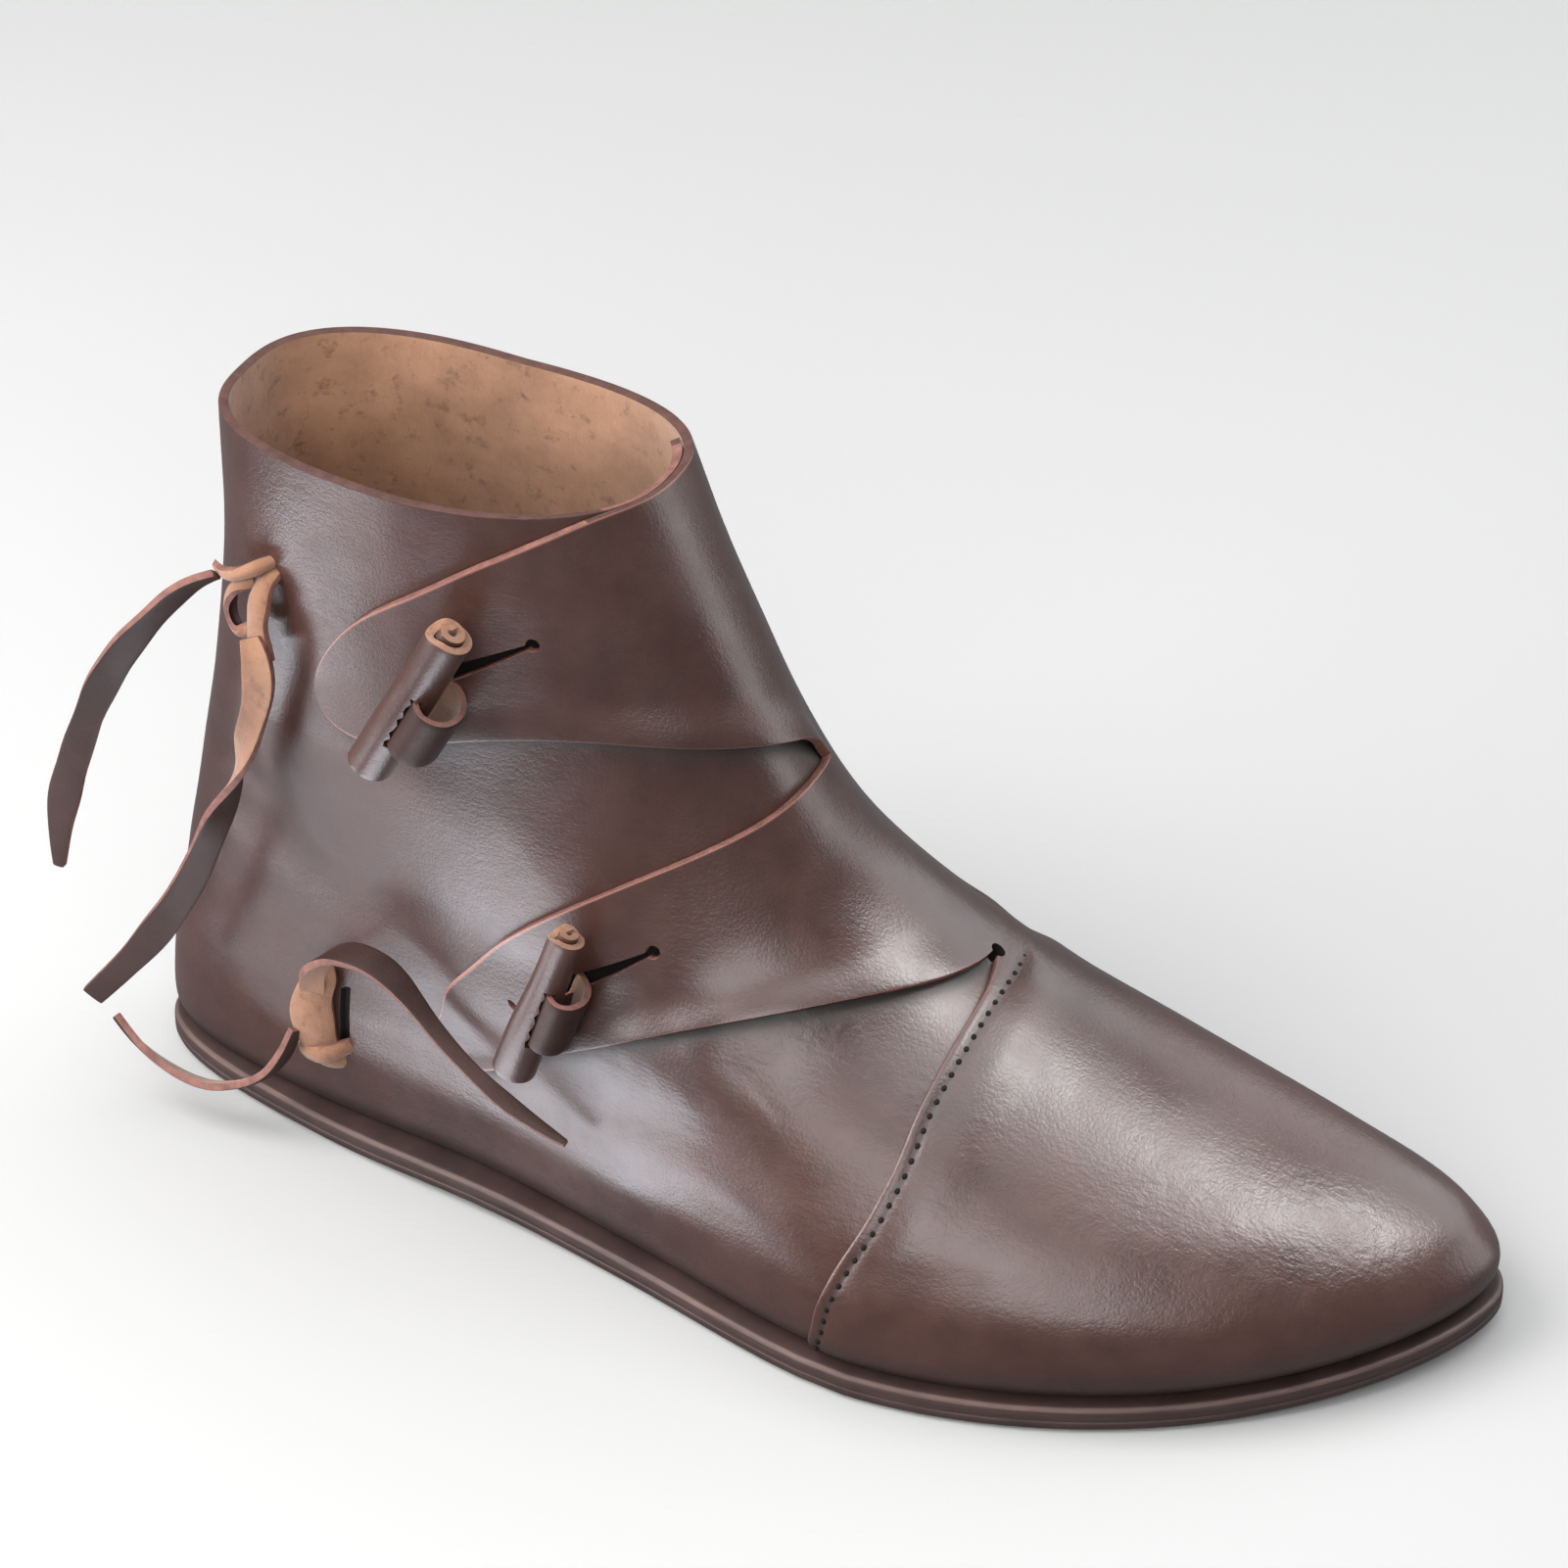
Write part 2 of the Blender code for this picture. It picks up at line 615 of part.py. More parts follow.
def make_knot(name, seat, material):
    ends, normals = over_quarter([seat.low_turn, seat.high_turn], [seat.low, seat.high], 0.0)
    frame = frame_on(ends.mean(axis=0), ends[1] - ends[0], normals.mean(axis=0))
    rings = wrapped_roll(frame, seat.stand, KNOT_LENGTH, KNOT_RADIUS, KNOT_BAND,
                         KNOT_END, KNOT_LENGTH - KNOT_END)
    return add_part(name, *ring_stack(rings, False), material)


# Thongs

def make_thong(name, route, material):
    """A flat strip swept along its route. At roll 0 its flat side faces out of the boot's outer side."""
    rows = along(route, THONG_RINGS)
    path = rows[:, :3]
    ahead = np.gradient(path, axis=0)
    ahead = ahead / np.linalg.norm(ahead, axis=1, keepdims=True)
    side = np.cross(ahead, (0.0, -1.0, 0.0))
    side = side / np.linalg.norm(side, axis=1, keepdims=True)
    face = np.cross(side, ahead)
    roll = np.radians(rows[:, 4:5])
    across = side * np.cos(roll) + face * np.sin(roll)
    flat = face * np.cos(roll) - side * np.sin(roll)
    half_width = rows[:, 3:4] / 2
    half = THONG_THICKNESS / 2
    tall = 1 - THONG_CORNER
    wide = 1 - THONG_CORNER / 2
    profile = (
        (wide, 1), (1, tall), (1, -tall), (wide, -1),
        (-wide, -1), (-1, -tall), (-1, tall), (-wide, 1),
    )
    sides = [path + across * half_width * u + flat * half * v for u, v in profile]
    return add_part(name, *ring_stack(np.stack(sides, axis=1), False), material)


def main():
    for old in list(bpy.data.objects):
        bpy.data.objects.remove(old, do_unlink=True)
    brown = leather("upper_leather", LEATHER, QUARTER_ROUGHNESS)
    sole = leather("sole_leather", SOLE_COLOUR, SOLE_ROUGHNESS)
    flesh = leather("insole_leather", FLESH, FLESH_ROUGHNESS)
    thong = leather("thong", LEATHER, QUARTER_ROUGHNESS)
    make_outsole(sole)
    make_insole(flesh)
    make_upper(brown)
    make_flap("ankle_flap", ANKLE_FLAP, ANKLE_SEAT, brown)
    make_flap("instep_flap", INSTEP_FLAP, INSTEP_SEAT, brown)
    make_toggle("ankle_toggle", ANKLE_SEAT, thong)
    make_toggle("instep_toggle", INSTEP_SEAT, thong)
    make_knot("ankle_knot", ANKLE_KNOT, thong)
    make_knot("heel_knot", HEEL_KNOT, thong)
    make_thong("ankle_tail_short", ANKLE_TAIL_SHORT, thong)
    make_thong("ankle_tail_long", ANKLE_TAIL_LONG, thong)
    make_thong("heel_tail_short", HEEL_TAIL_SHORT, thong)
    make_thong("heel_tail_long", HEEL_TAIL_LONG, thong)


main()
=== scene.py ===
"""Looks of a medieval ankle boot for the right foot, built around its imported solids.

Frame: +X towards the toe, +Y towards the inner side of the foot, +Z up, floor at z = 0.
Sizes are in millimetres here and become metres when a mesh is made.
"""
import math
from collections import namedtuple

import bmesh
import bpy
import numpy as np
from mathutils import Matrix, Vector


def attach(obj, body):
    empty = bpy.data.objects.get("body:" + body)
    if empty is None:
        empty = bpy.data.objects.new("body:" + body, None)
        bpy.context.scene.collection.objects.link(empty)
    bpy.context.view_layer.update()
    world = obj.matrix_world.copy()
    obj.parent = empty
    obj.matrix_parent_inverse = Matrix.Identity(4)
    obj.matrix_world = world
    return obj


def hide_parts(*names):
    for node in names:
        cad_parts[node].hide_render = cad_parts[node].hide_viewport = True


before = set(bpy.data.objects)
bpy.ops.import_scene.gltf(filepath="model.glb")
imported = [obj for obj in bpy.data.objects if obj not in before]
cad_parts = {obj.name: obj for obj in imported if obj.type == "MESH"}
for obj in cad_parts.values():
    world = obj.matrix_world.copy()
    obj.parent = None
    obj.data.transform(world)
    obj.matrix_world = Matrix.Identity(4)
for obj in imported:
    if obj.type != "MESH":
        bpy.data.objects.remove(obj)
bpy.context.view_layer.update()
MM = 0.001


def table(kind, *rows):
    """Rows of one kind."""
    return tuple(kind(*row) for row in rows)


# Driving sizes of the boot, as in its solids
LENGTH = 290.0
BALL_WIDTH = 100.0
COLLAR_HEIGHT = 166.5
SOLE_THICKNESS = 5.7
GAP = 0.3
FEATHER = SOLE_THICKNESS + GAP
WALL = 2.0
FLAP = 2.0
TOE_SPRING = 3.0
TOE_SPRING_FROM = 95.0
ARCH_RISE = 1.2
ARCH_MIDDLE = -52.0
ARCH_REACH = 38.0
INNER_WAIST = 4.0
WAIST_PLACE = 0.45
WAIST_REACH = 0.2
WAIST_LOW = 10.0
WAIST_HIGH = 70.0
LEVEL_FROM = 90.0
LEDGE = 2.2
INSOLE_INSET = 5.2
SEAM_STEP = 1.2
FULL_STEP_FROM = 48.0
FULL_STEP_AT = 68.0
DROP_FADES_FROM = 0.32
DROP_ENDS_AT = 0.484
HEEL_LEAN = -1.5
LEAN_FROM = 100.0

Swell = namedtuple("Swell", "turn size reach")
LEDGE_SWELLS = (Swell(0.335, 1.5, 0.04), Swell(0.5, -1.2, 0.07))

# Horizontal sections. height: share of the way from feather line to collar. heel, toe, widest: x in
# percent of LENGTH. outer, inner: half widths, middle, tip: centre line's y at the widest place and at
# the front, all in percent of BALL_WIDTH. outer_heel, inner_heel: heel width as a share of the half
# width. nose, tail: roundness of the front and back ends, 2 for an ellipse.
Section = namedtuple(
    "Section", "height heel toe widest outer inner middle tip outer_heel inner_heel nose tail")
SECTIONS = table(
    Section,
    (0.0, -47.1, 51.7, 14.8, 48, 45, -6, 18, 0.62, 0.75, 1.80, 2.6),
    (4.4, -47.2, 52.1, 14.5, 50, 48, -6, 17, 0.62, 0.75, 1.88, 2.6),
    (10.0, -46.9, 50.3, 13.1, 50, 48, -6, 15, 0.64, 0.76, 1.95, 2.6),
    (16.9, -46.2, 44.5, 10.3, 48, 45, -5, 12, 0.67, 0.78, 1.95, 2.6),
    (23.7, -45.5, 35.2, 6.9, 44, 42, -4, 9, 0.72, 0.80, 1.95, 2.5),
    (31.2, -44.7, 24.5, 2.1, 40, 39, -3, 6, 0.79, 0.83, 1.95, 2.5),
    (39.8, -43.6, 14.8, -4.8, 36, 37, -2, 3, 0.87, 0.88, 2.00, 2.5),
    (49.9, -42.4, 7.9, -11.0, 34, 35, -2, 1, 0.94, 0.93, 2.05, 2.5),
    (61.1, -41.0, 3.8, -16.2, 33, 33, -2, -1, 1.00, 1.00, 2.15, 2.5),
    (73.6, -39.8, 0.7, -19.7, 32, 32, -3, -3, 1.00, 1.00, 2.20, 2.5),
    (87.3, -39.0, -2.8, -21.0, 31, 30, -4, -3, 1.00, 1.00, 2.25, 2.6),
    (100.0, -38.8, -5.9, -21.7, 31, 29, -5, -2, 1.00, 1.00, 2.30, 2.6),
)

# Flap stations from root to tip: turn and height of the lower edge, turn and height of the upper edge
HOLE_HEIGHT = 67.6
NOTCH_HEIGHT = 102.4
Station = namedtuple("Station", "low_turn low high_turn high")
ANKLE_FLAP = table(
    Station,
    (-0.0500, NOTCH_HEIGHT, -0.0500, COLLAR_HEIGHT), (-0.0154, 110.1, 0.0016, COLLAR_HEIGHT),
    (0.0284, 115.2, 0.0470, COLLAR_HEIGHT), (0.0740, 118.4, 0.0940, 166.1),
    (0.1149, 120.2, 0.1382, 163.6), (0.1502, 121.0, 0.1771, 159.5), (0.1817, 120.6, 0.2090, 154.6),
    (0.2108, 119.0, 0.2337, 149.3), (0.2380, 116.3, 0.2506, 144.4), (0.2573, 112.7, 0.2640, 139.4),
    (0.2755, 109.7, 0.2792, 134.1), (0.2921, 109.0, 0.2932, 128.2), (0.3041, 110.9, 0.3036, 122.4),
    (0.3088, 114.4, 0.3089, 117.2),
)
INSTEP_FLAP = table(
    Station,
    (-0.0221, HOLE_HEIGHT, -0.0500, NOTCH_HEIGHT), (0.0328, 69.0, 0.0012, 103.8),
    (0.0778, 70.1, 0.0537, 102.4), (0.1191, 70.3, 0.1013, 99.6), (0.1617, 69.2, 0.1442, 95.9),
    (0.2062, 66.8, 0.1843, 91.4), (0.2501, 63.1, 0.2236, 86.1), (0.2618, 58.4, 0.2535, 80.2),
    (0.2763, 52.8, 0.2683, 73.9), (0.2909, 46.7, 0.2837, 67.3), (0.3021, 40.5, 0.2982, 60.7),
    (0.3106, 36.8, 0.3106, 54.0), (0.3187, 37.5, 0.3170, 47.5), (0.3218, 40.6, 0.3216, 43.4),
)

# Toggles: foot and head of the roll and the far end of the slit, each as turn and height on the flap,
# and the roll's length
ToggleSeat = namedtuple("ToggleSeat", "foot_turn foot head_turn head hole_turn hole length")
ANKLE_SEAT = ToggleSeat(0.276, 111.0, 0.214, 146.0, 0.176, 140.6, 39.0)
INSTEP_SEAT = ToggleSeat(0.293, 49.0, 0.240, 82.0, 0.201, 78.8, 36.5)
TOGGLE_CLEARANCE = 1.0
TOGGLE_AXIS_HEIGHT = 6.2
TOGGLE_STAND = GAP + FLAP + TOGGLE_CLEARANCE + TOGGLE_AXIS_HEIGHT

# Thong routes: centre of the strip, its width, and the roll of its flat side about the route
Point = namedtuple("Point", "x y z width roll")
ANKLE_TAIL_SHORT = table(
    Point,
    (-104.6, -28.6, 135.6, 5.0, 60), (-110.0, -31.0, 132.6, 5.5, 55), (-117.0, -32.5, 125.0, 6.0, 45),
    (-124.5, -33.0, 115.0, 6.5, 35), (-131.0, -32.5, 104.0, 6.5, 25), (-136.5, -31.5, 92.0, 6.5, 15),
    (-141.0, -31.0, 80.0, 6.5, 5), (-145.0, -30.0, 67.0, 6.0, 0), (-146.5, -30.0, 54.0, 2.5, 0),
)
ANKLE_TAIL_LONG = table(
    Point,
    (-94.9, -33.3, 126.4, 4.6, 180), (-93.2, -34.3, 121.0, 6.5, 180), (-94.3, -33.8, 111.5, 6.5, 175),
    (-98.0, -33.0, 100.0, 6.5, 150), (-102.0, -32.0, 89.0, 6.5, 95), (-107.5, -32.0, 76.0, 6.5, 45),
    (-113.0, -32.0, 63.0, 6.5, 30), (-120.0, -32.0, 50.5, 6.5, 20), (-128.5, -31.5, 38.0, 6.2, 10),
    (-140.5, -31.0, 23.0, 5.0, 10),
)
HEEL_TAIL_SHORT = table(
    Point,
    (-92.1, -30.7, 29.7, 2.4, 60), (-94.6, -31.8, 23.0, 3.6, 66), (-98.8, -32.6, 17.0, 4.4, 70),
    (-105.0, -33.0, 12.6, 4.8, 65), (-113.5, -33.0, 9.8, 5.0, 60), (-123.0, -32.0, 10.6, 5.0, 50),
    (-130.5, -31.0, 13.8, 4.5, 40), (-136.0, -30.0, 18.5, 2.0, 30),
)
HEEL_TAIL_LONG = table(
    Point,
    (-87.3, -31.0, 41.4, 5.0, 160), (-86.0, -33.0, 46.8, 5.0, 140), (-83.0, -35.2, 52.5, 5.2, 112),
    (-78.5, -36.0, 56.5, 5.8, 90), (-72.5, -36.0, 57.5, 5.8, 74), (-65.0, -36.5, 55.0, 5.2, 66),
    (-57.0, -38.0, 48.5, 4.0, 60), (-49.0, -40.0, 43.0, 3.2, 58), (-40.0, -42.0, 38.5, 3.2, 58),
    (-31.5, -43.5, 35.5, 3.0, 58), (-23.0, -44.5, 33.0, 1.4, 60),
)
THONG_THICKNESS = 1.6
THONG_RINGS = 90

# Knots: a strip's route as turn and height on the quarter, stand off it, width and roll
Lay = namedtuple("Lay", "turn z stand width roll")
ANKLE_KNOT_HEAD = table(
    Lay,
    (0.3425, 138.6, -1.0, 4.0, 180), (0.3420, 137.6, 1.8, 4.6, 180), (0.3420, 134.6, 3.8, 5.2, 178),
    (0.3430, 130.4, 4.9, 5.6, 176), (0.3425, 125.6, 5.2, 6.0, 178), (0.3400, 121.0, 5.2, 6.2, 180),
)
ANKLE_KNOT_RING = table(
    Lay,
    (0.3520, 136.6, 2.6, 3.0, 170), (0.3600, 135.6, 4.6, 3.0, 150), (0.3690, 132.6, 5.0, 2.8, 125),
    (0.3730, 128.6, 5.0, 2.6, 110), (0.3680, 125.4, 5.0, 2.6, 110), (0.3590, 124.6, 4.8, 2.8, 130),
    (0.3500, 126.6, 3.6, 3.0, 160),
)
ANKLE_KNOT_CROSS = table(
    Lay,
    (0.3890, 135.3, 4.4, 3.2, 130), (0.3780, 136.2, 5.2, 3.0, 135), (0.3660, 137.0, 5.6, 2.8, 150),
    (0.3540, 138.8, 4.8, 2.8, 170), (0.3450, 140.4, 2.4, 2.8, 180), (0.3415, 140.8, -1.2, 2.6, 180),
)
HEEL_KNOT = table(
    Lay,
    (0.3580, 20.8, -0.6, 3.6, 160), (0.3600, 22.6, 1.0, 6.4, 160), (0.3622, 26.0, 2.2, 8.2, 158),
    (0.3634, 30.6, 2.9, 8.8, 156), (0.3634, 35.6, 3.1, 8.8, 156), (0.3622, 40.2, 3.1, 8.0, 156),
    (0.3602, 44.0, 2.8, 6.4, 156), (0.3588, 46.6, 1.6, 4.0, 158),
)
HEEL_KNOT_TURN = table(
    Lay,
    (0.3545, 26.2, -0.8, 3.0, 180), (0.3565, 26.0, 2.0, 3.4, 178), (0.3595, 25.2, 3.7, 3.6, 176),
    (0.3640, 24.4, 3.9, 3.6, 172), (0.3685, 24.2, 2.8, 3.2, 168), (0.3712, 24.4, 0.4, 2.6, 166),
)

# The lap line over the outer quarter, from the sole across the vamp's side and up the front to the
# collar, as even turn and height
LAP_LINE = (
    (0.2634, FEATHER), (0.2626, 8.2), (0.2603, 13.1), (0.2561, 18.1), (0.2501, 23.1), (0.2425, 27.9),
    (0.2337, 32.3), (0.2235, 36.5), (0.2121, 40.4), (0.1992, 44.2), (0.1846, 47.8), (0.1687, 51.2),
    (0.1518, 54.3), (0.1341, 57.0), (0.1156, 59.36), (0.0961, 61.4), (0.0759, 63.15), (0.0550, 64.55),
    (0.0335, 65.6), (0.0114, 66.4), (-0.0241, HOLE_HEIGHT), (-0.0495, 84.0), (-0.0483, NOTCH_HEIGHT),
    (-0.0467, COLLAR_HEIGHT),
)

# The row of stitches on the vamp, from the front of the instep down to the sole, as turn and height
STITCH_LINE = (
    (-0.0388, 64.6), (0.0007, 65.0), (0.0387, 64.2), (0.0748, 62.1), (0.1084, 59.0), (0.1397, 54.9),
    (0.1682, 49.8), (0.1937, 43.9), (0.2156, 37.3), (0.2337, 30.0), (0.2477, 22.1), (0.2513, 13.7),
    (0.2525, 6.5),
)

# Holes and slits in the quarter: place, length up the boot, width, the stand off the quarter from which the
# cut is pale, below that painted shade, and the lean towards the toe for each step up
Hole = namedtuple("Hole", "name turn z length width pale lean")
HOLES = table(
    Hole,
    ("seam_hole", -0.021, 67.3, 3.2, 3.2, 5.0, 0.0),
    ("instep_pin_hole", 0.289, 56.6, 2.6, 2.2, 0.14, 0.0),
    ("ankle_thong_hole", 0.341, 138.0, 4.2, 2.8, 5.0, 0.0),
    ("heel_thong_slit", 0.3580, 32.5, 19.0, 2.4, 5.0, -0.42),
)
HOLE_SIDES = 20
HOLE_DEPTH = -1.5
CUT_TOP = 6.0

# The flaps' slits: widths at the round hole and at the toggle, the hole's radius, and how far the slit runs
# on under the toggle. Depth below the quarter, and the stand from which the cut is pale; below it the cut
# is painted shade.
SLIT_WIDTH = 1.2
ANKLE_SLIT_WIDTH = 4.2
INSTEP_SLIT_WIDTH = 4.0
SLIT_HOLE = 1.45
SLIT_OVERRUN = 2.0
SLIT_DEPTH = -0.6
SLIT_PALE = 0.5

# Places where the leather is finely wrinkled: turn and height, reach in millimetres, and strength
Wrinkled = namedtuple("Wrinkled", "turn z reach strength")
WRINKLES = table(
    Wrinkled,
    (0.176, 48.4, 15.0, 1.0), (0.230, 36.0, 12.0, 0.6), (0.160, 63.0, 12.0, 0.8),
    (0.204, 60.0, 12.0, 0.6), (0.312, 32.4, 11.0, 0.7), (0.046, 31.9, 26.0, 0.9),
    (0.110, 36.0, 26.0, 0.7), (-0.080, 36.0, 30.0, 0.6), (-0.200, 44.0, 20.0, 0.6),
    (0.500, 40.0, 16.0, 0.4),
)

# Main creases of the leather: three places as turn and height, depth of the trough and its half width.
# A depth below zero is a bulge.
Crease = namedtuple("Crease", "turn_a z_a turn_b z_b turn_c z_c depth width")
CREASES = table(
    Crease,
    (0.330, 60.0, 0.380, 72.0, 0.440, 78.0, 0.6, 5.0),
    (0.345, 74.0, 0.390, 84.0, 0.450, 88.0, 0.5, 4.5),
    (0.660, 76.0, 0.610, 84.0, 0.550, 88.0, 0.6, 5.0),
    (0.690, 64.0, 0.630, 74.0, 0.560, 79.0, 0.5, 4.5),
    (0.900, 62.0, 0.860, 58.0, 0.810, 50.0, 0.7, 4.5),
    (0.880, 54.0, 0.840, 50.0, 0.800, 44.0, 0.5, 4.0),
    (0.890, 96.0, 0.830, 92.0, 0.770, 84.0, 0.6, 5.0),
    (0.110, 70.0, 0.200, 66.0, 0.270, 54.0, -1.0, 7.0),
)
CREASE_POINTS = 25
RIDGE_SHARE = 0.5

# Slow waves of the leather: a height and two swings that are multiplied. A swing has its lengths along x,
# y and z, where an endless one leaves the axis out, and a phase.
Swing = namedtuple("Swing", "x y z phase")
WAVES = (
    (0.12, Swing(9.5, math.inf, 17.0, 0.0), Swing(math.inf, 21.0, 13.0, 0.0)),
    (0.14, Swing(23.0, -15.0, math.inf, 1.3), Swing(math.inf, math.inf, 26.0, 0.4)),
)
FULL_RELIEF_AT = 16.0

# Steps for reading directions off the skin
SMALL_TURN = 0.002
SMALL_RISE = 0.4

# Lean of the mesh columns at the sole, and how much less it is at the notch between the flaps
COLUMN_LEAN = 0.265
LEAN_LOSS = 0.315


# Curves through tables

def slopes(places, values):
    """Slopes of a curve through the values that doesn't overshoot them."""
    steps = np.diff(places)
    rises = np.diff(values) / steps
    result = np.zeros(len(values))
    result[0] = rises[0]
    result[-1] = rises[-1]
    for k in range(1, len(values) - 1):
        before = rises[k - 1]
        after = rises[k]
        if before * after > 0:
            first = 2 * steps[k] + steps[k - 1]
            second = steps[k] + 2 * steps[k - 1]
            result[k] = (first + second) / (first / before + second / after)
    return result


def through(places, values, at):
    """Read a smooth curve through the values at the given places."""
    places = np.asarray(places, float)
    values = np.asarray(values, float)
    slope = slopes(places, values)
    k = np.clip(np.searchsorted(places, at, side="right") - 1, 0, len(places) - 2)
    step = places[k + 1] - places[k]
    s = (at - places[k]) / step
    start = (1 + 2 * s) * (1 - s) ** 2 * values[k] + s * (1 - s) ** 2 * step * slope[k]
    end = s * s * (3 - 2 * s) * values[k + 1] + s * s * (s - 1) * step * slope[k + 1]
    return start + end


def spline(values, at):
    """Read a curve of even bending through values that stand at the whole numbers."""
    values = np.asarray(values, float)
    count = len(values)
    matrix = np.eye(count)
    right = np.zeros(count)
    for k in range(1, count - 1):
        matrix[k, k - 1:k + 2] = (1, 4, 1)
        right[k] = 6 * (values[k + 1] - 2 * values[k] + values[k - 1])
    bend = np.linalg.solve(matrix, right)
    k = np.clip(at.astype(int), 0, count - 2)
    s = at - k
    straight = values[k] * (1 - s) + values[k + 1] * s
    return straight + ((1 - s) ** 3 - (1 - s)) * bend[k] / 6 + (s ** 3 - s) * bend[k + 1] / 6


def along(rows, count):
    """Read all columns of a table at evenly spaced places from its first row to its last."""
    at = np.linspace(0, len(rows) - 1, count)
    return np.stack([spline(column, at) for column in zip(*rows)], axis=1)


def ease(value, low, high):
    """0 below low, 1 above high, smooth between."""
    s = np.clip((value - low) / (high - low), 0, 1)
    return s * s * (3 - 2 * s)


def bell(away, reach):
    """1 where away is 0, falling smoothly to nearly 0 at twice the reach."""
    return np.exp(-(away / reach) ** 2)


def unit(vectors):
    return vectors / np.linalg.norm(vectors, axis=-1, keepdims=True)


def run_along(line):
    """Distance run along a line of points, at each of them."""
    return np.append(0, np.cumsum(np.linalg.norm(np.diff(line, axis=0), axis=1)))


# The form of the foot

def section(z):
    """All columns of the section table at height z, in millimetres."""
    scales = dict.fromkeys(("heel", "toe", "widest"), LENGTH / 100)
    scales.update(dict.fromkeys(("outer", "inner", "middle", "tip"), BALL_WIDTH / 100))
    heights = [FEATHER + row.height / 100 * (COLLAR_HEIGHT - FEATHER) for row in SECTIONS]
    columns = zip(Section._fields, zip(*SECTIONS))
    read = {name: through(heights, values, z) * scales.get(name, 1.0) for name, values in columns}
    return Section(**read)


def lift(x):
    """Rise of the sole above the floor: the arch and the toe spring."""
    toe = TOE_SPRING * np.clip((x - TOE_SPRING_FROM) / (LENGTH / 2 - TOE_SPRING_FROM), 0, 1.2) ** 2
    reach = np.clip((x - ARCH_MIDDLE) / ARCH_REACH, -1, 1)
    return toe + ARCH_RISE * np.cos(reach * math.pi / 2) ** 2


def skin(z, turn):
    """The boot's outside at height z. turn: 0 at the front, 0.25 outer side, 0.5 heel, 0.75 inner side."""
    z, turn = np.broadcast_arrays(np.asarray(z, float), np.asarray(turn, float))
    row = section(z)
    cosine = np.cos(2 * math.pi * turn)
    sine = np.sin(2 * math.pi * turn)
    front = cosine >= 0
    outer = sine >= 0
    power = 2 / np.where(front, row.nose, row.tail)
    forward = np.sign(cosine) * np.abs(cosine) ** power
    x = row.widest + forward * np.where(front, row.toe - row.widest, row.widest - row.heel)
    to_heel = np.clip(-forward, 0, 1)
    to_toe = np.clip(forward, 0, 1)
    heel_share = np.where(outer, row.outer_heel, row.inner_heel)
    narrowing = 1 - (1 - heel_share) * (1 - (1 - to_heel) ** 5 * (1 + 5 * to_heel))
    half = np.where(outer, row.outer, row.inner) * np.abs(sine) ** power * narrowing
    low_down = np.clip((WAIST_HIGH - z) / (WAIST_HIGH - WAIST_LOW), 0, 1)
    waist = bell(to_heel - WAIST_PLACE, WAIST_REACH) * low_down
    half = half - np.where(outer | front, 0, INNER_WAIST * waist)
    heel_y = HEEL_LEAN * np.clip((z - LEAN_FROM) / (COLLAR_HEIGHT - LEAN_FROM), 0, 1)
    centre = row.middle + (heel_y - row.middle) * to_heel + (row.tip - row.middle) * to_toe ** 2
    y = centre - np.where(outer, half, -half)
    level = np.clip(1 - z / LEVEL_FROM, 0, 1)
    return np.stack([x, y, z + lift(x) * level], axis=-1)


def beside(z):
    """Heights a small rise below and above z, on the skin."""
    return np.clip([z - SMALL_RISE, z + SMALL_RISE], FEATHER, COLLAR_HEIGHT)


def across_skin(z, turn):
    """A small step along the skin at one height, from front to heel."""
    return skin(z, turn + SMALL_TURN) - skin(z, turn - SMALL_TURN)


def outward(z, turn):
    """Unit normal of the skin, pointing out of the boot."""
    low, high = beside(np.asarray(z, float))
    return unit(np.cross(skin(high, turn) - skin(low, turn), across_skin(z, turn)))


def rear_stretch(row):
    """How much longer the section is behind its widest place than in front of it."""
    return (row.widest - row.heel) / (row.toe - row.widest)


def to_even(turn, z):
    """Turn as an even turn, whose equal steps run smoothly past the widest place."""
    row = section(z)
    cosine = np.cos(2 * math.pi * turn)
    power = 2 / np.where(cosine >= 0, row.nose, row.tail)
    even = np.arccos(np.sign(cosine) * np.abs(cosine) ** power) / (2 * math.pi)
    return np.sign(turn) * np.where(even > 0.25, 0.25 + (even - 0.25) * rear_stretch(row), even)


def from_even(even, z):
    """The turn of an even turn."""
    row = section(z)
    size = np.abs(even)
    size = np.where(size > 0.25, 0.25 + (size - 0.25) / rear_stretch(row), size)
    forward = np.cos(2 * math.pi * size)
    power = np.where(forward >= 0, row.nose, row.tail) / 2
    return np.sign(even) * np.arccos(np.sign(forward) * np.abs(forward) ** power) / (2 * math.pi)


# The lap of vamp and flaps over the outer quarter

def surface_line(places, count):
    """Turns and heights of a smooth line on the skin through places given as turn and height."""
    rows = along([(to_even(turn, z), z) for turn, z in places], count)
    z = np.minimum(rows[:, 1], COLLAR_HEIGHT)
    return from_even(rows[:, 0], z), z


def seam_turn(z):
    """Turn of the lap line: across the vamp's outer side, then up the front to the collar."""
    even, heights = zip(*LAP_LINE)
    return from_even(through(heights, even, z), z)


def column_lean(z):
    """Smooth lean of the mesh columns, which they keep far away from the lap line."""
    return COLUMN_LEAN - LEAN_LOSS * ease(z, FEATHER, NOTCH_HEIGHT)


def turn_at(column, z):
    """Turn of a mesh column. Column 0 is the lap line, -0.5 and 0.5 are the heel."""
    near = 1 - np.abs(2 * column)
    lean = column_lean(z)
    return column + lean * near + (seam_turn(z) - lean) * near ** 3


def lap_step(z):
    """Height of the step from the quarter up to the vamp and the flaps at the lap line."""
    return SEAM_STEP + (FLAP + GAP - SEAM_STEP) * ease(z, FULL_STEP_FROM, FULL_STEP_AT)


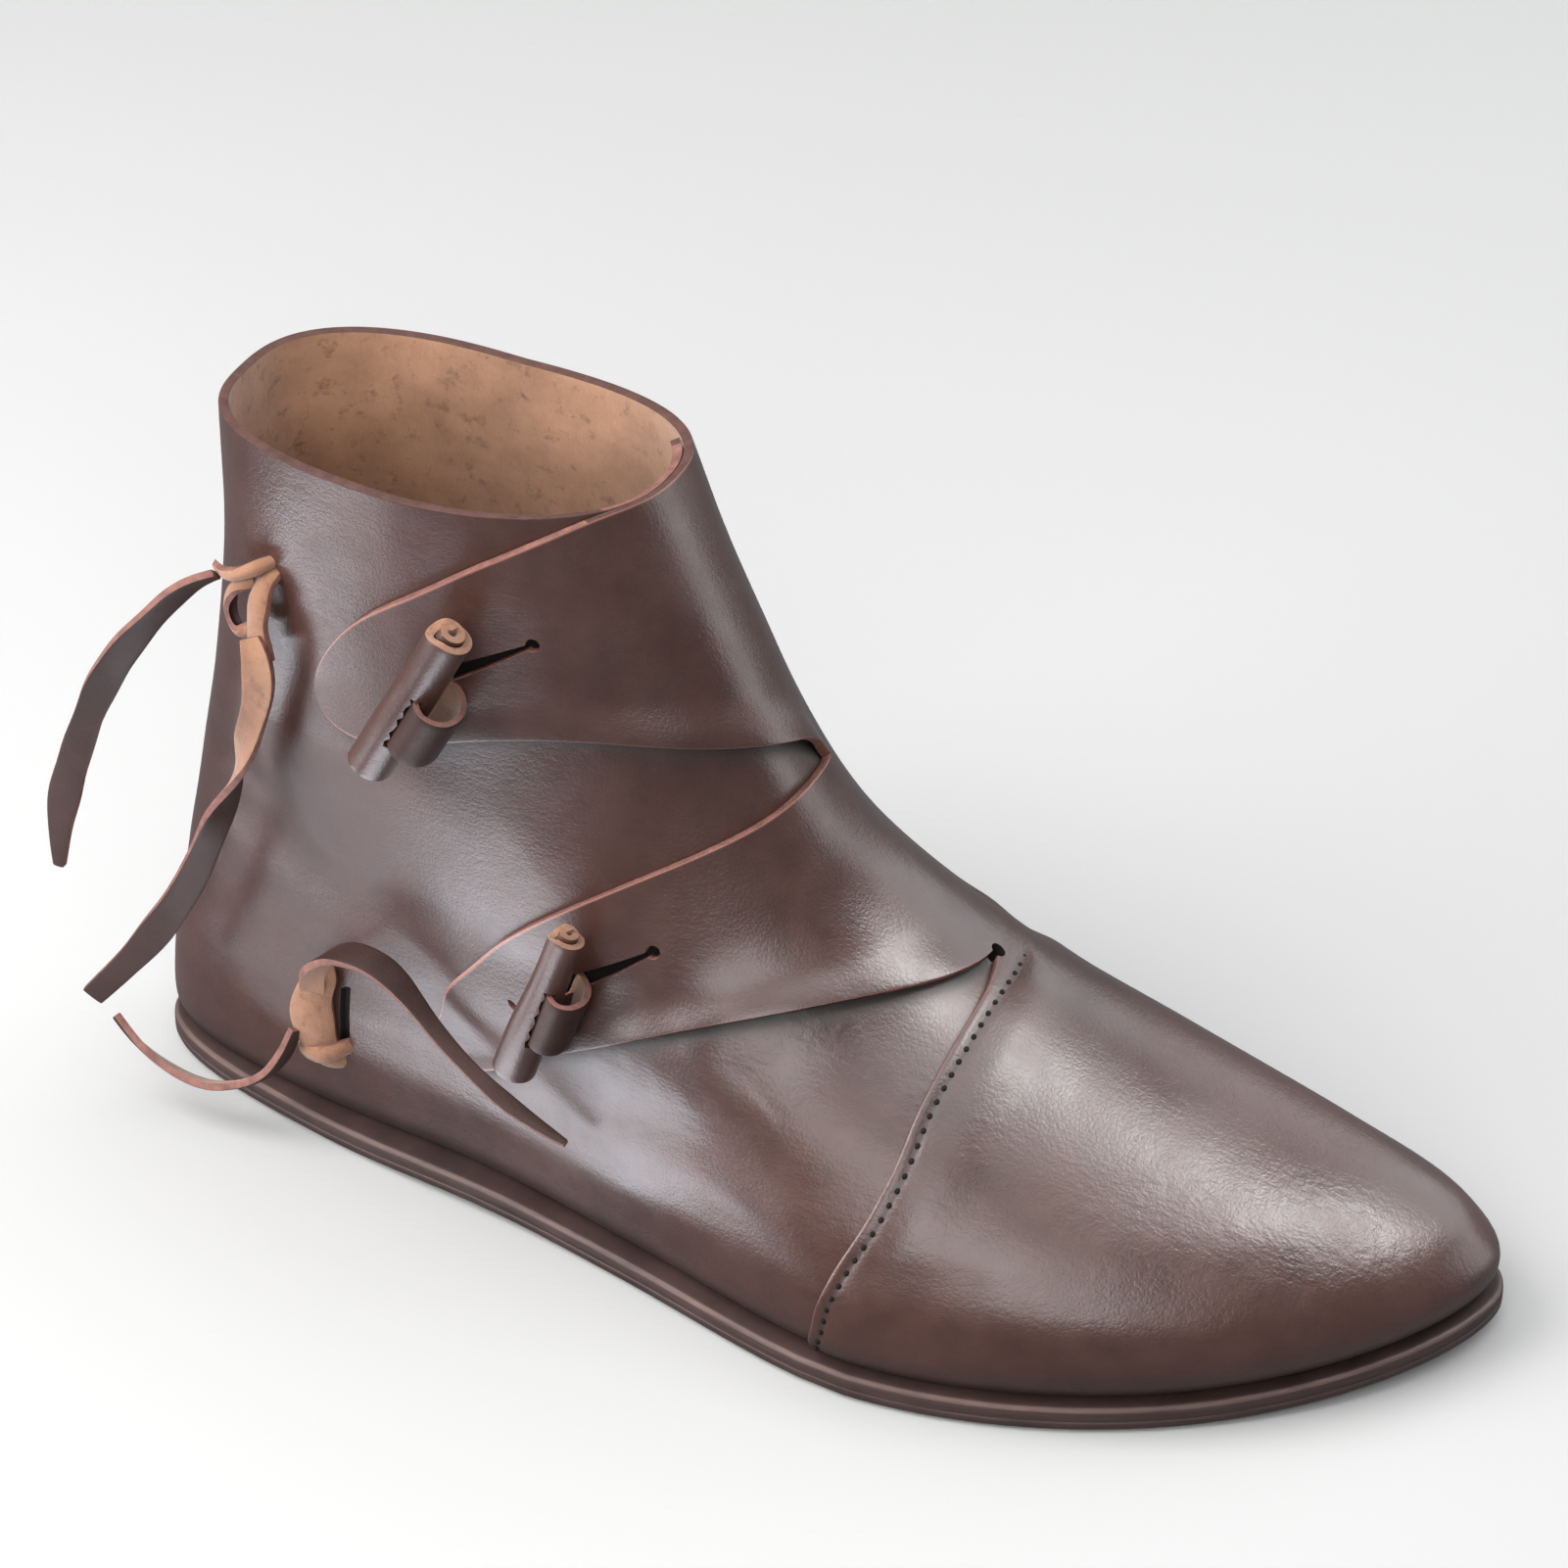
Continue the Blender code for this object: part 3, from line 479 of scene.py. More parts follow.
def quarter_drop(turn, z):
    """How far the outer quarter lies below the skin, so that the flaps over it end flush with the front."""
    return lap_step(z) * (1 - ease(turn, DROP_FADES_FROM, DROP_ENDS_AT))


def over_quarter(turn, z, stand):
    """A point that stands off the outer quarter, and the direction out of it."""
    turn = np.asarray(turn, float)
    z = np.asarray(z, float)
    normal = outward(z, turn)
    return skin(z, turn) + normal * (stand - quarter_drop(turn, z))[..., None], normal


# Materials

BLACK = (0.0, 0.0, 0.0)
WHITE = (1.0, 1.0, 1.0)
RIM_COLOUR = (0.27, 0.115, 0.09, 1.0)
# Colour and roughness of the painted darkening: painted shade in the stitch groove and under the flaps'
# edges, and darker towards the sole
DARKENING_COLOUR = (0.005, 0.0026, 0.0022, 1.0)
DARKENING_ROUGHNESS = (0.75, 0.75, 0.75, 1.0)
SPECK_COLOUR = (0.10, 0.046, 0.026, 1.0)
COAT_SHARE = 0.2


def new_material(name):
    material = bpy.data.materials.new(name)
    material.use_nodes = True
    tree = material.node_tree
    return material, tree, tree.nodes["Principled BSDF"]


def feed(tree, node, inputs):
    """Give inputs to a node, each a socket or a value."""
    for key, value in inputs.items():
        if isinstance(value, bpy.types.NodeSocket):
            tree.links.new(value, node.inputs[key])
        else:
            node.inputs[key].default_value = value


def add_node(tree, kind, inputs, **settings):
    """Outputs of a new node with its settings and inputs."""
    made = tree.nodes.new("ShaderNode" + kind)
    for key, value in settings.items():
        setattr(made, key, value)
    feed(tree, made, inputs)
    return made.outputs


def millimetres(tree, stretch=(1.0, 1.0, 1.0)):
    """Coordinates in millimetres in the boot's own frame, stretched along the axes."""
    place = add_node(tree, "TexCoord", {})["Object"]
    return add_node(tree, "Mapping", {"Vector": place, "Scale": [s / MM for s in stretch]})["Vector"]


def noise(tree, vector, per_mm, detail=4.0, rough=0.55):
    inputs = {"Vector": vector, "Scale": per_mm, "Detail": detail, "Roughness": rough}
    return add_node(tree, "TexNoise", inputs)["Fac"]


def cells(tree, vector, per_mm):
    """Distance to the edges of cells, like pores between grains."""
    inputs = {"Vector": vector, "Scale": per_mm}
    return add_node(tree, "TexVoronoi", inputs, feature="DISTANCE_TO_EDGE")["Distance"]


def ramp(tree, value, low, low_colour, high, high_colour):
    """Colours from one value to another."""
    made = tree.nodes.new("ShaderNodeValToRGB")
    for point, place, colour in zip(made.color_ramp.elements, (low, high), (low_colour, high_colour)):
        point.position = place
        point.color = (*colour, 1.0)
    feed(tree, made, {"Fac": value})
    return made.outputs["Color"]


def mix(tree, factor, a, b):
    """Mix of two colours."""
    return add_node(tree, "Mix", {0: factor, 6: a, 7: b}, data_type="RGBA")[2]


def times(tree, a, b):
    return add_node(tree, "Math", {0: a, 1: b}, operation="MULTIPLY")[0]


def plus(tree, a, b):
    return add_node(tree, "Math", {0: a, 1: b}, operation="ADD")[0]


def bump(tree, height, distance, strength, under=None):
    """Normal of a relief of a height in millimetres, over another one."""
    inputs = {"Height": height, "Distance": distance * MM, "Strength": strength}
    if under is not None:
        inputs["Normal"] = under
    return add_node(tree, "Bump", inputs)["Normal"]


def mark(tree, name):
    """A mark that the mesh carries on its points."""
    return add_node(tree, "Attribute", {}, attribute_name=name)["Fac"]


def grain_leather(name, dark, light, shine, specular, marked=False):
    """Smooth waxed leather: mottled, with fine pores and pull lines, half gloss.

    Marks on the mesh add pale rims, painted darkening and wrinkles. The darkening is painted shade along
    the stitch groove and under the flaps' lower edges, and a darker band towards the sole.
    """
    material, tree, shader = new_material(name)
    place = millimetres(tree)
    broad = times(tree, noise(tree, place, 0.022, 3.0), 0.65)
    fine = times(tree, noise(tree, place, 0.16, 5.0, 0.6), 0.35)
    colour = ramp(tree, plus(tree, broad, fine), 0.34, dark, 0.66, light)
    rough = ramp(tree, noise(tree, place, 0.09, 4.0), 0.3, (shine - 0.05,) * 3, 0.7, (shine + 0.07,) * 3)
    pores = ramp(tree, cells(tree, place, 0.9), 0.0, BLACK, 0.22, WHITE)
    pull = noise(tree, millimetres(tree, (0.35, 1.0, 1.0)), 0.7, 3.0, 0.6)
    normal = bump(tree, noise(tree, place, 0.055, 2.0, 0.5), 0.55, 0.2)
    normal = bump(tree, pull, 0.16, 0.35, normal)
    normal = bump(tree, pores, 0.05, 0.3, normal)
    if marked:
        rim = ramp(tree, mark(tree, "rim"), 0.25, BLACK, 0.75, WHITE)
        # Painted darkening: painted shade, and a darker band towards the sole
        painted_darkening = mark(tree, "painted_darkening")
        colour = mix(tree, painted_darkening, mix(tree, rim, colour, RIM_COLOUR), DARKENING_COLOUR)
        rough = mix(tree, painted_darkening, rough, DARKENING_ROUGHNESS)
        folds = times(tree, noise(tree, millimetres(tree, (0.14, 1.0, 1.0)), 0.75, 3.0, 0.6), 0.6)
        uneven = plus(tree, folds, noise(tree, place, 0.42, 5.0, 0.62))
        normal = bump(tree, times(tree, uneven, mark(tree, "wrinkle")), 0.4, 0.55, normal)
    feed(tree, shader, {"Base Color": colour, "Roughness": rough, "Normal": normal,
                        "Specular IOR Level": specular, "Coat Weight": COAT_SHARE * specular,
                        "Coat Roughness": 0.22})
    return material


def flesh_leather(name, dark, light):
    """The rough inner side of leather: matt, mottled, fibrous, with dark specks."""
    material, tree, shader = new_material(name)
    place = millimetres(tree)
    colour = ramp(tree, noise(tree, place, 0.05, 5.0, 0.65), 0.32, dark, 0.68, light)
    specks = ramp(tree, noise(tree, place, 0.28, 3.0, 0.7), 0.56, BLACK, 0.72, WHITE)
    colour = mix(tree, times(tree, specks, 0.6), colour, SPECK_COLOUR)
    fibre = noise(tree, millimetres(tree, (1.0, 1.0, 0.6)), 1.3, 6.0, 0.75)
    feed(tree, shader, {"Base Color": colour, "Roughness": 0.92, "Normal": bump(tree, fibre, 0.35, 0.6),
                        "Specular IOR Level": 0.2, "Sheen Weight": 0.25, "Sheen Roughness": 0.5})
    return material


def cut_edge(name, dark, light):
    """The cut edge of the leather: dyed skin on the rims, pale fibres between."""
    material, tree, shader = new_material(name)
    place = millimetres(tree)
    colour = ramp(tree, noise(tree, place, 0.35, 5.0, 0.7), 0.3, dark, 0.68, light)
    fibre = noise(tree, place, 2.2, 4.0, 0.7)
    feed(tree, shader, {"Base Color": colour, "Roughness": 0.72, "Normal": bump(tree, fibre, 0.2, 0.5),
                        "Specular IOR Level": 0.3})
    return material


def sole_leather(name, dark, light):
    """Dense sole leather, its edge burnished in faint level lines."""
    material, tree, shader = new_material(name)
    place = millimetres(tree)
    lines = noise(tree, millimetres(tree, (0.06, 0.06, 1.0)), 1.4, 4.0, 0.6)
    broad = noise(tree, place, 0.04, 4.0, 0.6)
    tone = plus(tree, times(tree, lines, 0.5), times(tree, broad, 0.5))
    normal = bump(tree, lines, 0.25, 0.4)
    normal = bump(tree, noise(tree, place, 1.6, 4.0, 0.65), 0.12, 0.35, normal)
    feed(tree, shader, {"Base Color": ramp(tree, tone, 0.34, dark, 0.66, light), "Roughness": 0.58,
                        "Normal": normal, "Specular IOR Level": 0.4})
    return material


def thread_and_painted_hole_shade(name, dark, light):
    """Black waxed thread, and painted shade in the depth of holes and slits."""
    material, tree, shader = new_material(name)
    tone = noise(tree, millimetres(tree), 2.0, 3.0)
    feed(tree, shader, {"Base Color": ramp(tree, tone, 0.3, dark, 0.7, light), "Roughness": 0.85,
                        "Specular IOR Level": 0.2})
    return material


UPPER_GRAIN = grain_leather(
    "upper_grain", (0.029, 0.0112, 0.0082), (0.058, 0.0228, 0.0168), 0.33, 0.6, marked=True)
TOGGLE_GRAIN = grain_leather("toggle_grain", (0.033, 0.0132, 0.0100), (0.064, 0.0260, 0.0200), 0.36, 0.6)
THONG_GRAIN = grain_leather("thong_grain", (0.020, 0.0088, 0.0070), (0.042, 0.0185, 0.0147), 0.52, 0.2)
FLESH = flesh_leather("flesh_side", (0.26, 0.135, 0.076), (0.44, 0.245, 0.147))
THONG_FLESH = flesh_leather("thong_flesh", (0.162, 0.074, 0.042), (0.315, 0.162, 0.097))
EDGE = cut_edge("cut_edge", (0.10, 0.042, 0.034), (0.22, 0.098, 0.078))
# The collar's rim: a darker copy of the cut edge, painted shade against the light that falls on it from
# above
SHADED_COLLAR_EDGE = cut_edge("collar_edge_painted_shade", (0.042, 0.0175, 0.0135), (0.085, 0.037, 0.029))
SOLE = sole_leather("sole_leather", (0.022, 0.0115, 0.0100), (0.054, 0.029, 0.0255))
# Paler sole leather for painted highlight lines along the sole's edge
SOLE_RIM_HIGHLIGHT = sole_leather("sole_rim_painted_highlight", (0.045, 0.0245, 0.0210), (0.12, 0.070, 0.060))
# Dark waxed thread, also used as painted shade inside holes and slits
DARK = thread_and_painted_hole_shade("thread_and_painted_hole_shade", (0.004, 0.003, 0.003), (0.010, 0.007, 0.006))


# Meshes

SMOOTH_ANGLE = math.radians(40)
CUT_SMOOTH_ANGLE = math.radians(35)
ROUND_STEPS = 2
ROUND_PROFILE = 0.6
SAME_HEIGHT = 1e-6

# Material slots for the rim of a wall and for the upper's rim at the collar, which takes a darker copy of
# the cut edge as painted shade against the light from above
RIM_SLOT = 2
SHADED_COLLAR_SLOT = 3


def add_object(name, data):
    made = bpy.data.objects.new(name, data)
    bpy.context.collection.objects.link(made)
    return made


def add_piece(name, points, faces, materials, slots=None, marks=None):
    """Make one piece from points in millimetres, with a material slot for each face."""
    mesh = bpy.data.meshes.new(name)
    mesh.from_pydata((np.asarray(points) * MM).tolist(), [], [tuple(int(i) for i in f) for f in faces])
    for material in materials:
        mesh.materials.append(material)
    if slots is not None:
        mesh.polygons.foreach_set("material_index", np.asarray(slots, dtype=np.int32))
    mesh.shade_smooth()
    mesh.set_sharp_from_angle(angle=SMOOTH_ANGLE)
    for key, values in (marks or {}).items():
        layer = mesh.attributes.new(key, "FLOAT", "POINT")
        layer.data.foreach_set("value", np.asarray(values, dtype=np.float32))
    return add_object(name, mesh)


def soften(piece, width, angle=50.0, slot=-1):
    """Round the sharp edges of a piece by width millimetres. The rounds take the material of a slot."""
    work = bmesh.new()
    work.from_mesh(piece.data)
    limit = math.radians(angle)
    edges = [e for e in work.edges if len(e.link_faces) == 2 and e.calc_face_angle(0.0) > limit]
    bmesh.ops.bevel(work, geom=edges, offset=width * MM, segments=ROUND_STEPS, profile=ROUND_PROFILE,
                    affect="EDGES", clamp_overlap=True, material=slot)
    bmesh.ops.recalc_face_normals(work, faces=work.faces)
    work.to_mesh(piece.data)
    work.free()
    piece.data.shade_smooth()
    piece.data.set_sharp_from_angle(angle=CUT_SMOOTH_ANGLE)


def cut(piece, cutters):
    """Subtract the cutters from a piece and remove them. The cut faces take the cutters' material."""
    for cutter in cutters:
        tool = piece.modifiers.new(cutter.name, "BOOLEAN")
        tool.operation = "DIFFERENCE"
        tool.object = cutter
        tool.solver = "EXACT"
        tool.material_mode = "TRANSFER"
    graph = bpy.context.evaluated_depsgraph_get()
    mesh = bpy.data.meshes.new_from_object(piece.evaluated_get(graph))
    piece.modifiers.clear()
    piece.data = mesh
    mesh.set_sharp_from_angle(angle=CUT_SMOOTH_ANGLE)
    for cutter in cutters:
        bpy.data.objects.remove(cutter, do_unlink=True)


def grid_faces(index, flip=False):
    """Quads over a grid of point numbers."""
    a = index[:-1, :-1].ravel()
    b = index[:-1, 1:].ravel()
    c = index[1:, 1:].ravel()
    d = index[1:, :-1].ravel()
    quads = np.stack([a, b, c, d], axis=1)
    return quads[:, ::-1] if flip else quads


def open_edges(quads):
    """Directed edges that only one face uses."""
    edges = np.concatenate([quads[:, [k, (k + 1) % 4]] for k in range(4)])
    keys = dict.fromkeys((int(a), int(b)) for a, b in edges)
    return [(a, b) for a, b in keys if (b, a) not in keys]


def walled(outer, inner, quads):
    """A closed wall between two point sets over the same quads, and its slots: 0 out, 1 in, 2 rim."""
    back = len(outer)
    points = np.concatenate([outer, inner])
    rim = [(b, a, a + back, b + back) for a, b in open_edges(quads)]
    faces = [tuple(q) for q in quads] + [tuple(q[::-1] + back) for q in quads] + rim
    slots = [0] * len(quads) + [1] * len(quads) + [RIM_SLOT] * len(rim)
    return points, faces, slots


def strip_wall(outer, inner):
    """Closed wall between two grids."""
    index = np.arange(outer.shape[0] * outer.shape[1]).reshape(outer.shape[:2])
    return walled(outer.reshape(-1, 3), inner.reshape(-1, 3), grid_faces(index))


def ring_stack(rings):
    """Points and faces of a solid through rings, its ends closed with rungs from side to side."""
    count, sides = rings.shape[:2]
    index = np.arange(count * sides).reshape(count, sides)
    faces = [tuple(q) for q in grid_faces(np.column_stack([index, index[:, 0]]))]
    half = sides // 2
    for start in (0, (count - 1) * sides):
        caps = [(start, start + 1, start + sides - 1), (start + half - 1, start + half, start + half + 1)]
        for c in range(1, half - 1):
            caps.append((start + c, start + c + 1, start + sides - c - 1, start + sides - c))
        faces += caps if start else [cap[::-1] for cap in caps]
    return rings.reshape(-1, 3), faces


def outward_faces(piece):
    work = bmesh.new()
    work.from_mesh(piece.data)
    bmesh.ops.recalc_face_normals(work, faces=work.faces)
    work.to_mesh(piece.data)
    work.free()


# The upper: one sheet from the vamp's edge round the toe, inner side and heel to the outer quarter

def line_distance(flat, line):
    """Distance of points from a line of points, and the number of the nearest one."""
    apart = np.linalg.norm(flat[:, None, :] - line[None], axis=2)
    nearest = apart.argmin(axis=1)
    return apart[np.arange(len(flat)), nearest], nearest


def swing(flat, part):
    """One swing of a wave at each point, from -1 to 1."""
    return np.sin(flat[:, 0] / part.x + flat[:, 1] / part.y + flat[:, 2] / part.z + part.phase)


def relief(points):
    """Soft creases and slow waves of the leather, in millimetres out of the skin."""
    flat = points.reshape(-1, 3)
    total = np.zeros(len(flat))
    for height, first, second in WAVES:
        total += height * swing(flat, first) * swing(flat, second)
    t = np.linspace(0, 1, CREASE_POINTS)
    for crease in CREASES:
        turns = through([0, 0.5, 1], [crease.turn_a, crease.turn_b, crease.turn_c], t)
        heights = through([0, 0.5, 1], [crease.z_a, crease.z_b, crease.z_c], t)
        away, nearest = line_distance(flat, skin(heights, turns))
        fade = 1 - np.abs(2 * t[nearest] - 1) ** 2
        ridge = bell(away - 2 * crease.width, crease.width)
        total += crease.depth * fade * (RIDGE_SHARE * ridge - bell(away, crease.width))
    return total.reshape(points.shape[:-1])


# Rows and columns of the sheet: bands of heights with their number of rows, rows beside the flaps' edges,
# and columns beside the lap line. Distances are in millimetres, the limit in turns per millimetre.
FOOT_BANDS = ((FEATHER, 50.0, 32), (50.0, HOLE_HEIGHT, 34))
FLAP_BANDS = ((HOLE_HEIGHT, NOTCH_HEIGHT, 24), (NOTCH_HEIGHT, COLLAR_HEIGHT, 42))
RIM_ROWS = (0.0, 0.4, 0.9)
EDGE_DISTANCES = (0.0, 0.35, 0.8, 1.3, 1.7, 2.0, 2.3, 2.6, 2.9, 3.3, 4.0, 5.0, 6.5, 8.5, 11.0)
EDGE_SCALE_LIMIT = 0.006
SHEET_COLUMNS = 220
FLAP_STEPS = 72

# Points on the lines that distances are measured from, and the share of the way round that is measured
LAP_STEPS = 3000
LAP_POINTS = 400
STITCH_POINTS = 300
FLAP_EDGE_POINTS = 160
EDGE_REACH = 0.15

# At the lap the quarter runs on hidden and sinks, and the vamp's edge is thinner: shares of the way round
HIDDEN_LAP = 0.030
UNDER_LAP = (0.004, 0.02)
SKIVE_REACH = (0.003, 0.02)
SKIVE = 0.2

# The sheet is tucked in at the sole, and a flap leaves it over a first share of its length
TUCK = 1.3
TUCK_HEIGHT = 5.0
ROOT = (0.0, 0.12)

# The sewn edge of the vamp: a bevelled rim, a groove that the stitches lie in, and a swell beside it
BEVEL_DEPTH = 0.25
BEVEL_WIDTH = 0.9
GROOVE_DEPTH = 0.28
GROOVE_WIDTH = 1.0
SWELL_HEIGHT = 0.6
SWELL_PLACE = 9.0
SWELL_WIDTH = 4.5
SWELL_FULL_AT = 18.0
SEWN_REACH = 25.0
SEWN_FADE = 4.0
RIM_WIDTH = 0.7

# Marks on the leather: strength of the pale rims, and strength and reach of the painted darkening: painted
# shade along the stitch groove and under the flaps' lower edges, and darker towards the sole
LAP_RIM = 0.45
COLLAR_RIM = 0.2
# Painted shade along the stitch groove: strength and reach
STITCH_SHADE = 0.6
STITCH_SHADE_REACH = 0.45
# Painted shade on the quarter under the flaps' lower edges: strength, and reach under each flap
FLAP_SHADE = 0.9
ANKLE_SHADE_REACH = 2.6
INSTEP_SHADE_REACH = 2.4
# The sheet is painted darker towards the sole: strength and reach
SOLE_DARKENING = 0.55
SOLE_DARKENING_REACH = 7.0

# Pale rims of the flaps along their length: the lower one grows stronger, the upper one wider
LOW_RIM_START = 0.4
LOW_RIM_GROWS = (0.65, 0.85)
HIGH_RIM_WIDENING = 0.45
HIGH_RIM_WIDENS = (0.4, 0.6)

# How far a flap stands off along its lower edge: the share of its width that does, a swell near its root
# with where it is full and where it fades, and a steady part with where that fades, past 1 for nowhere
StandOff = namedtuple("StandOff", "depth swell full fades steady ends")
ANKLE_STAND_OFF = StandOff(0.22, 1.2, 0.07, (0.12, 0.42), 0.7, (0.55, 0.8))
INSTEP_STAND_OFF = StandOff(0.2, 0.6, 0.1, (0.3, 0.6), 0.4, (1.0, 2.0))
STEADY_FULL = 0.1


def sheet_heights():
    """Heights of the rows, close together beside the flaps' edges."""
    rows = [np.linspace(low, high, steps, endpoint=False) for low, high, steps in FOOT_BANDS]
    for low, high, steps in FLAP_BANDS:
        rows.append(low + np.array(RIM_ROWS[:2]))
        rows.append(np.linspace(low + RIM_ROWS[2], high - RIM_ROWS[2], steps))
        rows.append([high - RIM_ROWS[1]])
    return np.append(np.concatenate(rows), COLLAR_HEIGHT)


def edge_scale(z):
    """Columns per millimetre away from the lap line on the vamp's side, square to the line."""
    low, high = beside(z)
    turn = seam_turn(z)
    line = skin(high, seam_turn(high)) - skin(low, seam_turn(low))
    across = across_skin(z, turn) / (2 * SMALL_TURN)
    per_turn = np.linalg.norm(np.cross(line, across), axis=-1) / np.linalg.norm(line, axis=-1)
    lean = column_lean(z)
    scale = np.minimum(1 / (per_turn * (1 + 2 * lean + 6 * (turn - lean))), EDGE_SCALE_LIMIT)
    slow = EDGE_SCALE_LIMIT + (scale - EDGE_SCALE_LIMIT) * ease(z, HOLE_HEIGHT, NOTCH_HEIGHT)
    return np.where(z < HOLE_HEIGHT, scale, slow)


def main_sheet(heights):
    """Outer and inner points of the sheet without its flaps, from the vamp's edge on, and its marks."""
    scale = edge_scale(heights)[:, None]
    near = scale * np.array(EDGE_DISTANCES)
    share = np.linspace(0, 1, SHEET_COLUMNS)[1:]
    wrap = np.hstack([near, near[:, -1:] + (1 + HIDDEN_LAP - near[:, -1:]) * share])
    z = np.broadcast_to(heights[:, None], wrap.shape)
    column = np.where(wrap <= 0.5, -wrap, 1 - wrap)
    turn = turn_at(column, z)
    step = lap_step(z)
    under = (FLAP + GAP - step) * ease(-column, *UNDER_LAP)
    drop = np.where(wrap > 0.5, quarter_drop(turn, z) + under, 0.0)
    thin = np.minimum(step - SKIVE, WALL)
    wall = np.where(wrap <= 0.5, thin + (WALL - thin) * ease(wrap, *SKIVE_REACH), WALL)
    tuck = TUCK * np.clip(1 - (z - FEATHER) / TUCK_HEIGHT, 0, 1) ** 2
    place = skin(z, turn)
    normal = outward(z, turn)
    out = relief(place) * ease(z, FEATHER, FULL_RELIEF_AT) - drop - tuck
    away = np.full(wrap.shape, np.inf)
    close = wrap < EDGE_REACH
    away[close] = line_distance(place[close], lap_path())[0]
    sewn = edge_relief(place, away, z)
    marks = sheet_marks(place, away, z, wrap > 0.5)
    return place + normal * (out + sewn)[..., None], place + normal * (out - wall)[..., None], marks


def lap_path():
    """Points of the sewn lap line, evenly spaced from the sole to the hole at its top."""
    z = np.linspace(FEATHER, HOLE_HEIGHT, LAP_STEPS)
    line = skin(z, seam_turn(z))
    run = run_along(line)
    at = np.linspace(0, run[-1], LAP_POINTS)
    return np.stack([np.interp(at, run, side) for side in line.T], axis=1)


def from_line(flat, places, count):
    """Distance of points from a smooth line on the skin."""
    turn, height = surface_line(places, count)
    return line_distance(flat, skin(height, turn))[0]


def edge_relief(place, away, z):
    """The sewn edge's own relief: its bevel, the stitches' groove, and a swell that fades to the ends."""
    sewn = np.zeros(place.shape[:-1])
    near = away < SEWN_REACH
    away = away[near]
    z = z[near]
    groove = GROOVE_DEPTH * bell(from_line(place[near], STITCH_LINE, STITCH_POINTS), GROOVE_WIDTH)
    bevel = BEVEL_DEPTH * np.clip(1 - away / BEVEL_WIDTH, 0, 1) ** 2
    swell = SWELL_HEIGHT * bell(away - SWELL_PLACE, SWELL_WIDTH) * ease(z, FEATHER, SWELL_FULL_AT)
    sewn[near] = (swell - bevel) * (1 - ease(z, HOLE_HEIGHT - SEWN_FADE, HOLE_HEIGHT)) - groove
    return sewn


def sheet_marks(place, away, z, quarter):
    """Where the sheet is pale at a rim, painted dark and finely wrinkled, each from 0 to 1. The dark is
    painted shade along the stitch groove and under the flaps' lower edges, and grows towards the sole.
    """
    rim = np.maximum(LAP_RIM * np.clip(1 - away / RIM_WIDTH, 0, 1) * (z < HOLE_HEIGHT),
                     COLLAR_RIM * np.clip(1 - (COLLAR_HEIGHT - z) / RIM_WIDTH, 0, 1))
    flat = place.reshape(-1, 3)
    # Painted shade along the groove that the stitches lie in
    painted_darkening = STITCH_SHADE * bell(from_line(flat, STITCH_LINE, STITCH_POINTS), STITCH_SHADE_REACH)
    # Painted shade on the quarter under each flap's lower edge
    for stations, reach in ((ANKLE_FLAP, ANKLE_SHADE_REACH), (INSTEP_FLAP, INSTEP_SHADE_REACH)):
        edge = [(p.low_turn, p.low) for p in stations[:-1]]
        near = FLAP_SHADE * bell(from_line(flat, edge, FLAP_EDGE_POINTS), reach)
        painted_darkening = np.maximum(painted_darkening, near * quarter.ravel())
    # Painted darker towards the sole
    painted_darkening = np.maximum(painted_darkening, SOLE_DARKENING * bell(z.ravel() - FEATHER, SOLE_DARKENING_REACH))
    wrinkle = np.zeros(len(flat))
    for spot in WRINKLES:
        apart = np.linalg.norm(flat - skin(spot.z, spot.turn), axis=1)
        wrinkle = np.maximum(wrinkle, spot.strength * bell(apart, spot.reach))
    return {"rim": rim.ravel(), "painted_darkening": painted_darkening, "wrinkle": wrinkle}


def raised(off, s, share):
    """How far a flap stands off the quarter at a share of its length and of its width."""
    low = 1 - ease(share, 0.0, off.depth)
    swell = off.swell * low * ease(s, 0.0, off.full) * (1 - ease(s, *off.fades))
    return swell + off.steady * low * ease(s, 0.0, STEADY_FULL) * (1 - ease(s, *off.ends))


